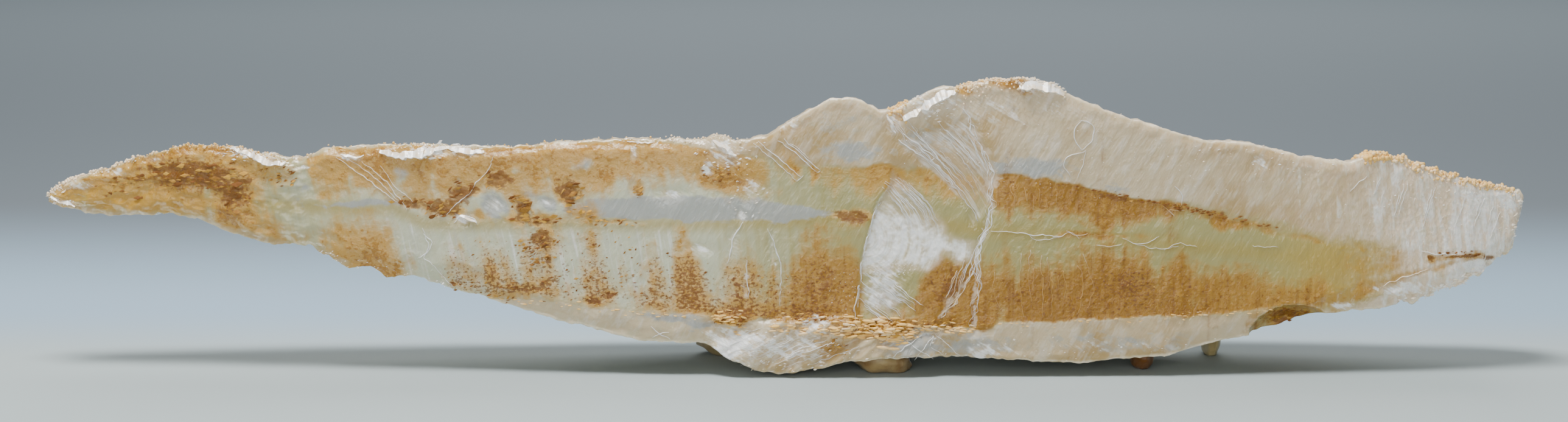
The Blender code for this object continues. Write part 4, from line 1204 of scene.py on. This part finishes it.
def selenite_material(look, field_names):
    """Selenite, a clear gypsum, grown in clay and split along its cleavage. It is a soft glass, IOR 1.52,
    whose outside is milky with tiny fluid veils, so that the eye sees a cloudy rim round a clearer, stained
    heart."""
    material, tree, shader, output = new_material("selenite, grown in clay and cleaved")
    where = add(tree, "ShaderNodeTexCoord").outputs["Object"]
    in_mm = add(tree, "ShaderNodeMapping", {"Scale": (1 / MM,) * 3}, {"Vector": where}).outputs["Vector"]
    place = add(tree, "ShaderNodeSeparateXYZ", {}, {"Vector": in_mm}).outputs
    signals = {"x": place["X"]}
    for name in field_names:
        signals[name] = add(tree, "ShaderNodeAttribute", {"attribute_name": name}).outputs["Fac"]
    gap = add(tree, "ShaderNodeMath", {"operation": "ABSOLUTE"}, {0: signals["seam"]})
    signals["seam_gap"] = gap.outputs[0]
    end = add(tree, "ShaderNodeMapRange", {1: END_FROM, 2: END_FULL}, {0: place["X"]})
    signals["far_right"] = end.outputs[0]
    for name, (source, cells, turn, detail) in CRYSTAL_NOISE.items():
        vector = add(tree, "ShaderNodeCombineXYZ", {}, {0: signals[source], 1: place["Y"], 2: place["Z"]})
        turned = add(tree, "ShaderNodeMapping", {"Rotation": (0, turn, 0)}, {"Vector": vector.outputs[0]})
        scaled = add(tree, "ShaderNodeMapping", {"Scale": cells}, {"Vector": turned.outputs[0]})
        if isinstance(detail, str):
            cells_of = add(tree, "ShaderNodeTexVoronoi", {"Scale": 1.0}, {"Vector": scaled.outputs[0]})
            signals[name] = cells_of.outputs[detail]
        else:
            signals[name] = add(
                tree, "ShaderNodeTexNoise", {"Scale": 1.0, "Detail": detail, "Roughness": 0.55},
                {"Vector": scaled.outputs[0]}
            ).outputs["Fac"]
    for name, (start, *terms) in CRYSTAL_SUMS.items():
        total = add(tree, "ShaderNodeMath", {"operation": "ADD", 0: start, 1: 0.0}).outputs[0]
        for signal, weight in terms:
            total = add(
                tree, "ShaderNodeMath", {"operation": "MULTIPLY_ADD", 1: weight},
                {0: signals[signal], 2: total}
            ).outputs[0]
        signals[name] = total
    colour = add(tree, "ShaderNodeRGB").outputs[0]
    colour.default_value = (*look.milk_colour, 1.0)
    clear = add(tree, "ShaderNodeMath", {"operation": "ADD", 0: MILK_CLEAR, 1: 0.0}).outputs[0]
    polish = add(tree, "ShaderNodeMath", {"operation": "ADD", 0: MILK_ROUGH, 1: 0.0}).outputs[0]
    for masks, colour_name, see_through, roughness in CRYSTAL_LAYERS:
        share = None
        for signal, low, high, top in masks:
            eased = add(
                tree, "ShaderNodeMapRange",
                {"interpolation_type": "SMOOTHSTEP", 1: low, 2: high, 3: 0.0, 4: top}, {0: signals[signal]},
            ).outputs[0]
            if share is None:
                share = eased
            else:
                both = add(tree, "ShaderNodeMath", {"operation": "MULTIPLY"}, {0: share, 1: eased})
                share = both.outputs[0]
        layer = (*getattr(look, colour_name), 1.0)
        mixed = add(tree, "ShaderNodeMix", {"data_type": "RGBA", 7: layer}, {0: share, 6: colour})
        colour = mixed.outputs[2]
        clear = add(tree, "ShaderNodeMix", {3: see_through}, {0: share, 2: clear}).outputs[0]
        polish = add(tree, "ShaderNodeMix", {3: roughness}, {0: share, 2: polish}).outputs[0]
    height = signals["wisps"]
    for place_of, pattern, weight in CRYSTAL_RELIEF:
        part = add(
            tree, "ShaderNodeMath", {"operation": "MULTIPLY"}, {0: signals[place_of], 1: signals[pattern]}
        ).outputs[0]
        height = add(
            tree, "ShaderNodeMath", {"operation": "MULTIPLY_ADD", 1: weight}, {0: part, 2: height}
        ).outputs[0]
    bump = add(tree, "ShaderNodeBump", {"Strength": 0.7, "Distance": 0.0005}, {"Height": height})
    settings = {
        "IOR": GYPSUM_IOR, "Specular IOR Level": GYPSUM_GLOSS, "Subsurface Weight": look.glow,
        "Subsurface Radius": LIGHT_SPREAD, "Subsurface Scale": SPREAD_REACH,
    }
    links = {
        "Base Color": colour, "Transmission Weight": clear, "Roughness": polish, "Normal": bump.outputs[0],
    }
    adjust(tree, shader, settings, links)
    absorb = add(tree, "ShaderNodeVolumeAbsorption", ABSORBED)
    adjust(tree, output, {}, {"Volume": absorb.outputs[0]})
    return material


def mottled_material(name, colours, cells, roughness, transmission=0.0, signal=None):
    """A material of two colours mixed by noise with so many cells per mm, or by an attribute roughened by
    it."""
    material, tree, shader, _ = new_material(name)
    where = add(tree, "ShaderNodeTexCoord").outputs["Object"]
    spot = add(tree, "ShaderNodeMapping", {"Scale": (cells / MM,) * 3}, {"Vector": where}).outputs["Vector"]
    noise = add(tree, "ShaderNodeTexNoise", {"Scale": 1.0, "Detail": 5.0}, {"Vector": spot}).outputs["Fac"]
    share = noise
    if signal:
        read = add(tree, "ShaderNodeAttribute", {"attribute_name": signal}).outputs["Fac"]
        share = add(
            tree, "ShaderNodeMath", {"operation": "MULTIPLY_ADD", 1: 0.5}, {0: noise, 2: read}
        ).outputs[0]
    low, high = (0.3, 0.95) if signal else (0.35, 0.65)
    eased = add(
        tree, "ShaderNodeMapRange", {"interpolation_type": "SMOOTHSTEP", 1: low, 2: high}, {0: share}
    ).outputs[0]
    first, second = ((*colour, 1.0) for colour in colours)
    mixed = add(tree, "ShaderNodeMix", {"data_type": "RGBA", 6: first, 7: second}, {0: eased})
    bump = add(tree, "ShaderNodeBump", {"Strength": 0.6, "Distance": GRAIN_HEIGHT}, {"Height": noise})
    settings = {"Roughness": roughness, "IOR": GYPSUM_IOR, "Transmission Weight": transmission}
    adjust(tree, shader, settings, {"Base Color": mixed.outputs[2], "Normal": bump.outputs[0]})
    return material


def lump_material(look):
    """Gypsum lump, grown with clay in it: dull and grainy, honey to olive, with ochre spots a few mm
    across."""
    colours = (look.lump_colour, look.rust_colour)
    return mottled_material("gypsum lump, grown with clay", colours, 0.35, 0.40, 0.2, signal="tone")


def clay_material(look):
    """Ochre clay, sealed in as it settled: matt flakes, each somewhere between golden and dark brown."""
    colours = (look.gold_colour, look.rust_colour)
    return mottled_material("ochre clay, settled", colours, 1.2, 0.8, signal="tone")


def crust_material(look):
    """Gypsum and clay crust, dried on: matt, granular, ochre where there is more clay and cream where
    less."""
    colours = (look.crust_colour, look.rim_colour)
    return mottled_material("clay crust, dried on", colours, 0.9, 0.7, signal="tone")


def crack_material(look, use):
    """Selenite cracked or chipped along its cleavage: air in the crack turns it silvery white, and clay
    gold. On the glints and many of the chips, the white is also a painted highlight."""
    name = f"selenite, cracked, {use}"
    if use == "open":
        return mottled_material(name, (look.frost_colour, look.crust_colour), 0.8, 0.2, 0.2, signal="clay")
    see_through = 0.35 if use == "sealed" else 0.0
    return mottled_material(name, (look.frost_colour, look.rim_colour), 0.6, 0.18, see_through)


def paper_material(look):
    """Backdrop paper, matt, with a faint tooth. Its colour grades from pale grey at the front to a deeper
    grey behind, and a little lighter far back: painted shade and light that stand in for how the lamps'
    light falls across it."""
    material, tree, shader, _ = new_material("backdrop paper, matt, painted shade grades")
    where = add(tree, "ShaderNodeTexCoord").outputs["Object"]
    place = add(tree, "ShaderNodeSeparateXYZ", {}, {"Vector": where}).outputs
    shade = add(tree, "ShaderNodeRGB").outputs[0]
    shade.default_value = (*look.paper_colour, 1.0)
    for colour, start, stop in (
        (look.paper_cool_colour, 0.0, look.paper_pale_to),
        (look.paper_deep_shade_colour, look.paper_pale_to, look.paper_deep_from),
        (look.paper_far_shade_colour, 0.3, 1.5),
    ):
        share = add(
            tree, "ShaderNodeMapRange", {"interpolation_type": "SMOOTHSTEP", 1: start, 2: stop},
            {0: place["Y"]}
        ).outputs[0]
        mixed = add(tree, "ShaderNodeMix", {"data_type": "RGBA", 7: (*colour, 1.0)}, {0: share, 6: shade})
        shade = mixed.outputs[2]
    tooth = add(tree, "ShaderNodeTexNoise", {"Scale": 900.0, "Detail": 2.0}, {"Vector": where})
    bump = add(
        tree, "ShaderNodeBump", {"Strength": 0.1, "Distance": 0.0002}, {"Height": tooth.outputs["Fac"]}
    )
    adjust(tree, shader, {"Roughness": 0.7}, {"Base Color": shade, "Normal": bump.outputs[0]})
    return material


# --------------------------------------------------------------------------------------------------
# The stage
# --------------------------------------------------------------------------------------------------

# Each lamp: name, place, what it points at, its two sides and its power, in metres and watts.
LAMPS = (
    ("overhead softbox", (-0.14, -0.20, 0.88), (0.0, 0.0, 0.03), (0.34, 0.24), 13.8),
    ("front softbox", (-0.20, -1.42, 0.32), (0.0, 0.0, 0.04), (1.2, 0.5), 10.8),
    ("backdrop softbox", (0.10, 1.60, 1.60), (0.0, 1.60, 0.0), (2.2, 1.4), 29.0),
)
# The camera looks down on the front by its pitch, from CAMERA_REACH metres. Its lens and sensor are in mm.
CAMERA_PITCH = math.radians(8)
CAMERA_REACH = 0.6630
CAMERA_AIM = (0.0, FRONT_Y * MM, 0.04297)
CAMERA_LENS = 60.0
CAMERA_SENSOR = 36.0


def stage(look):
    """A round floor that curves up into a wall, three softboxes, an even room light, and the camera.

    The floor's profile is flat to a radius, then a quarter circle, then straight up; it is turned about Z.
    """
    flat, bend, wall = look.floor_radius, 1.2, 1.5
    flat_rings, bend_rings, wall_rings, spokes = 12, 24, 4, 120
    turn = np.linspace(0, math.pi / 2, bend_rings + 1)[1:]
    up = np.linspace(0.25, 1, wall_rings)
    radius = (np.linspace(0.02, flat, flat_rings), flat + bend * np.sin(turn), flat + bend + 0 * up)
    height = (np.zeros(flat_rings), bend * (1 - np.cos(turn)), bend + wall * up)
    radius, height = np.concatenate(radius), np.concatenate(height)
    round_z = 2 * math.pi * np.arange(spokes) / spokes
    rings = np.stack(np.broadcast_arrays(
        radius[:, None] * np.cos(round_z), radius[:, None] * np.sin(round_z), height[:, None]
    ), axis=2)
    quads, ends = tube_faces(len(radius), spokes)
    floor = mesh_object("floor", capped(rings) / MM, [quads, ends[:spokes]])
    floor.data.materials.append(paper_material(look))

    world = bpy.data.worlds.new("even room light")
    bpy.context.scene.world = world
    world.use_nodes = True
    settings = {"Color": (*look.room_colour, 1.0), "Strength": look.room_light}
    adjust(world.node_tree, world.node_tree.nodes["Background"], settings)
    for name, place, aim, (wide, deep), power in LAMPS:
        lamp = bpy.data.lights.new(name, "AREA")
        lamp.shape, lamp.size, lamp.size_y, lamp.energy = "RECTANGLE", wide, deep, power
        made = bpy.data.objects.new(name, lamp)
        bpy.context.scene.collection.objects.link(made)
        made.location = place
        made.rotation_euler = (Vector(aim) - Vector(place)).to_track_quat("-Z", "Y").to_euler()

    data = bpy.data.cameras.new("camera")
    data.lens, data.sensor_width = CAMERA_LENS, CAMERA_SENSOR
    camera = bpy.data.objects.new("camera", data)
    bpy.context.scene.collection.objects.link(camera)
    back = Vector((0.0, -math.cos(CAMERA_PITCH), math.sin(CAMERA_PITCH)))
    camera.location = Vector(CAMERA_AIM) + back * CAMERA_REACH
    camera.rotation_euler = (math.pi / 2 - CAMERA_PITCH, 0.0, 0.0)
    bpy.context.scene.camera = camera


# --------------------------------------------------------------------------------------------------
# The add-on
# --------------------------------------------------------------------------------------------------


def tint(name, description, hex_colour):
    """A colour setting whose default is an sRGB hex colour."""
    return FloatVectorProperty(
        name=name, description=description, subtype="COLOR", size=3, min=0.0, max=1.0,
        default=linear(hex_colour)
    )


class SeleniteSettings(PropertyGroup):
    """Colours and sizes of the crystal that a user would change."""

    milk_colour: tint("Milk", "Milky outside of the crystal", "#BFA06A")
    cloud_colour: tint("Cloud", "Whiter clouds in the milk", "#D8C6A6")
    # Cream of the worn edges, which is also the painted highlight along the top edges.
    rim_colour: tint("Worn rim", "Worn, whitened edges", "#F2DDBE")
    end_colour: tint("Right end", "Broken right end", "#E8D2B8")
    phantom_colour: tint("Phantom", "Olive older crystal", "#C8BE7C")
    pale_colour: tint("Pale phantom", "Pale grey-green older crystal", "#EDEFD0")
    seam_colour: tint("Seam", "Yellowish seam down the older crystal", "#C9B15A")
    haze_colour: tint("Clear lenses", "Clear, bluish crystal", "#D4D6D0")
    clay_colour: tint("Clay", "Ochre clay sealed in the crystal", "#A47018")
    amber_colour: tint("Amber", "Crystal deeply stained by clay", "#96660A")
    gold_colour: tint("Gold", "Brightest clay streaks", "#C69538")
    rust_colour: tint("Rust", "Dark brown clay", "#744300")
    crust_colour: tint("Crust", "Ochre crust on the edges", "#E9BC6A")
    lump_colour: tint("Lumps", "Lumps that the crystal stands on", "#C4B07A")
    frost_colour: tint("Frost", "Bruised, cracked and torn crystal", "#F4F3F0")
    glow: FloatProperty(
        name="Glow", description="How much light spreads inside the milk",
        subtype="FACTOR", min=0, max=1, default=0.35
    )
    flake_count: IntProperty(
        name="Clay flakes", description="Most flakes of sealed clay", min=0, default=14000
    )
    flake_length: FloatProperty(
        name="Flake length", description="Longest flake of sealed clay",
        unit="LENGTH", min=0, default=0.0018
    )
    granule_size: FloatProperty(
        name="Granule size", description="Radius that crust granules are scaled by",
        unit="LENGTH", default=0.001
    )
    crack_width: FloatProperty(
        name="Crack width", description="Scales the width of every fine crack",
        subtype="FACTOR", min=0, default=0.8
    )


class StageSettings(PropertyGroup):
    """Colours and sizes of the stage that a user would change."""

    paper_colour: tint("Paper", "Backdrop paper at the front", "#A4AFAF")
    paper_cool_colour: tint("Cool paper", "Backdrop paper just behind the crystal", "#92AABC")
    # The deep and far papers are painted shade and light: their greys stand in for how the light falls off
    # behind the crystal.
    paper_deep_shade_colour: tint("Deep paper", "Backdrop paper behind the crystal", "#666F75")
    paper_far_shade_colour: tint("Far paper", "Backdrop paper far behind the crystal", "#828D93")
    paper_pale_to: FloatProperty(
        name="Pale to", description="How far behind the crystal the paper stays pale",
        unit="LENGTH", default=0.08
    )
    paper_deep_from: FloatProperty(
        name="Deep from", description="Where behind the crystal the paper is deepest",
        unit="LENGTH", default=0.32
    )
    floor_radius: FloatProperty(
        name="Floor radius", description="Where the floor starts to curve up", unit="LENGTH", default=3.0
    )
    room_colour: tint("Room", "Colour of the even room light", "#F2F5FA")
    room_light: FloatProperty(
        name="Room light", description="Strength of the even room light", min=0, default=0.32
    )


class SELENITE_OT_crystal(Operator):
    """Make the crystal's fine surface, in place of its plain solid"""

    bl_idname = "selenite.crystal"
    bl_label = "Crystal blade"

    def execute(self, context):
        crystal(context.scene.selenite)
        return {"FINISHED"}


class SELENITE_OT_knobs(Operator):
    """Make the lumps that the crystal stands on"""

    bl_idname = "selenite.knobs"
    bl_label = "Standing lumps"

    def execute(self, context):
        knobs(context.scene.selenite)
        return {"FINISHED"}


class SELENITE_OT_sealed_clay(Operator):
    """Strew flakes of clay inside the crystal"""

    bl_idname = "selenite.sealed_clay"
    bl_label = "Sealed clay"

    def execute(self, context):
        sealed_clay(context.scene.selenite)
        return {"FINISHED"}


class SELENITE_OT_sealed_cracks(Operator):
    """Make the cracks that run into the crystal"""

    bl_idname = "selenite.sealed_cracks"
    bl_label = "Sealed cracks"

    def execute(self, context):
        sealed_cracks(context.scene.selenite)
        return {"FINISHED"}


class SELENITE_OT_cracks(Operator):
    """Make the fine cracks on the front face"""

    bl_idname = "selenite.cracks"
    bl_label = "Fine cracks"

    def execute(self, context):
        cracks(context.scene.selenite)
        return {"FINISHED"}


class SELENITE_OT_crust(Operator):
    """Put granules of crust on the edges"""

    bl_idname = "selenite.crust"
    bl_label = "Crust granules"

    def execute(self, context):
        crust(context.scene.selenite)
        return {"FINISHED"}


class SELENITE_OT_flakes(Operator):
    """Put cleavage chips and flakes of open clay on the front"""

    bl_idname = "selenite.flakes"
    bl_label = "Chips and clay flakes"

    def execute(self, context):
        flakes(context.scene.selenite)
        return {"FINISHED"}


class SELENITE_OT_stage(Operator):
    """Make the floor, the lights and the camera"""

    bl_idname = "selenite.stage"
    bl_label = "Stage"

    def execute(self, context):
        stage(context.scene.selenite_stage)
        return {"FINISHED"}


OPERATORS = (
    SELENITE_OT_crystal, SELENITE_OT_knobs, SELENITE_OT_sealed_clay, SELENITE_OT_sealed_cracks,
    SELENITE_OT_cracks, SELENITE_OT_crust, SELENITE_OT_flakes, SELENITE_OT_stage,
)


# A group's own settings come after the two that Blender gives every group.
FIRST_SETTING = 2


class SELENITE_PT_panel(Panel):
    """Lists the pieces to make and the settings"""

    bl_idname = "SELENITE_PT_panel"
    bl_label = "Selenite crystal blade"
    bl_space_type = "VIEW_3D"
    bl_region_type = "UI"
    bl_category = "Selenite"

    def draw(self, context):
        column = self.layout.column()
        for operator in OPERATORS:
            column.operator(operator.bl_idname)
        for group in (context.scene.selenite, context.scene.selenite_stage):
            column.separator()
            own_names = group.bl_rna.properties.keys()[FIRST_SETTING:]
            for name in own_names:
                column.prop(group, name)


CLASSES = (SeleniteSettings, StageSettings, *OPERATORS, SELENITE_PT_panel)


def register():
    for made in CLASSES:
        bpy.utils.register_class(made)
    bpy.types.Scene.selenite = PointerProperty(type=SeleniteSettings)
    bpy.types.Scene.selenite_stage = PointerProperty(type=StageSettings)


def unregister():
    del bpy.types.Scene.selenite_stage
    del bpy.types.Scene.selenite
    for made in reversed(CLASSES):
        bpy.utils.unregister_class(made)


def main():
    """Makes every piece and the stage."""
    register()
    for operator in OPERATORS:
        group, name = operator.bl_idname.split(".")
        getattr(getattr(bpy.ops, group), name)()


if __name__ == "__main__":
    main()
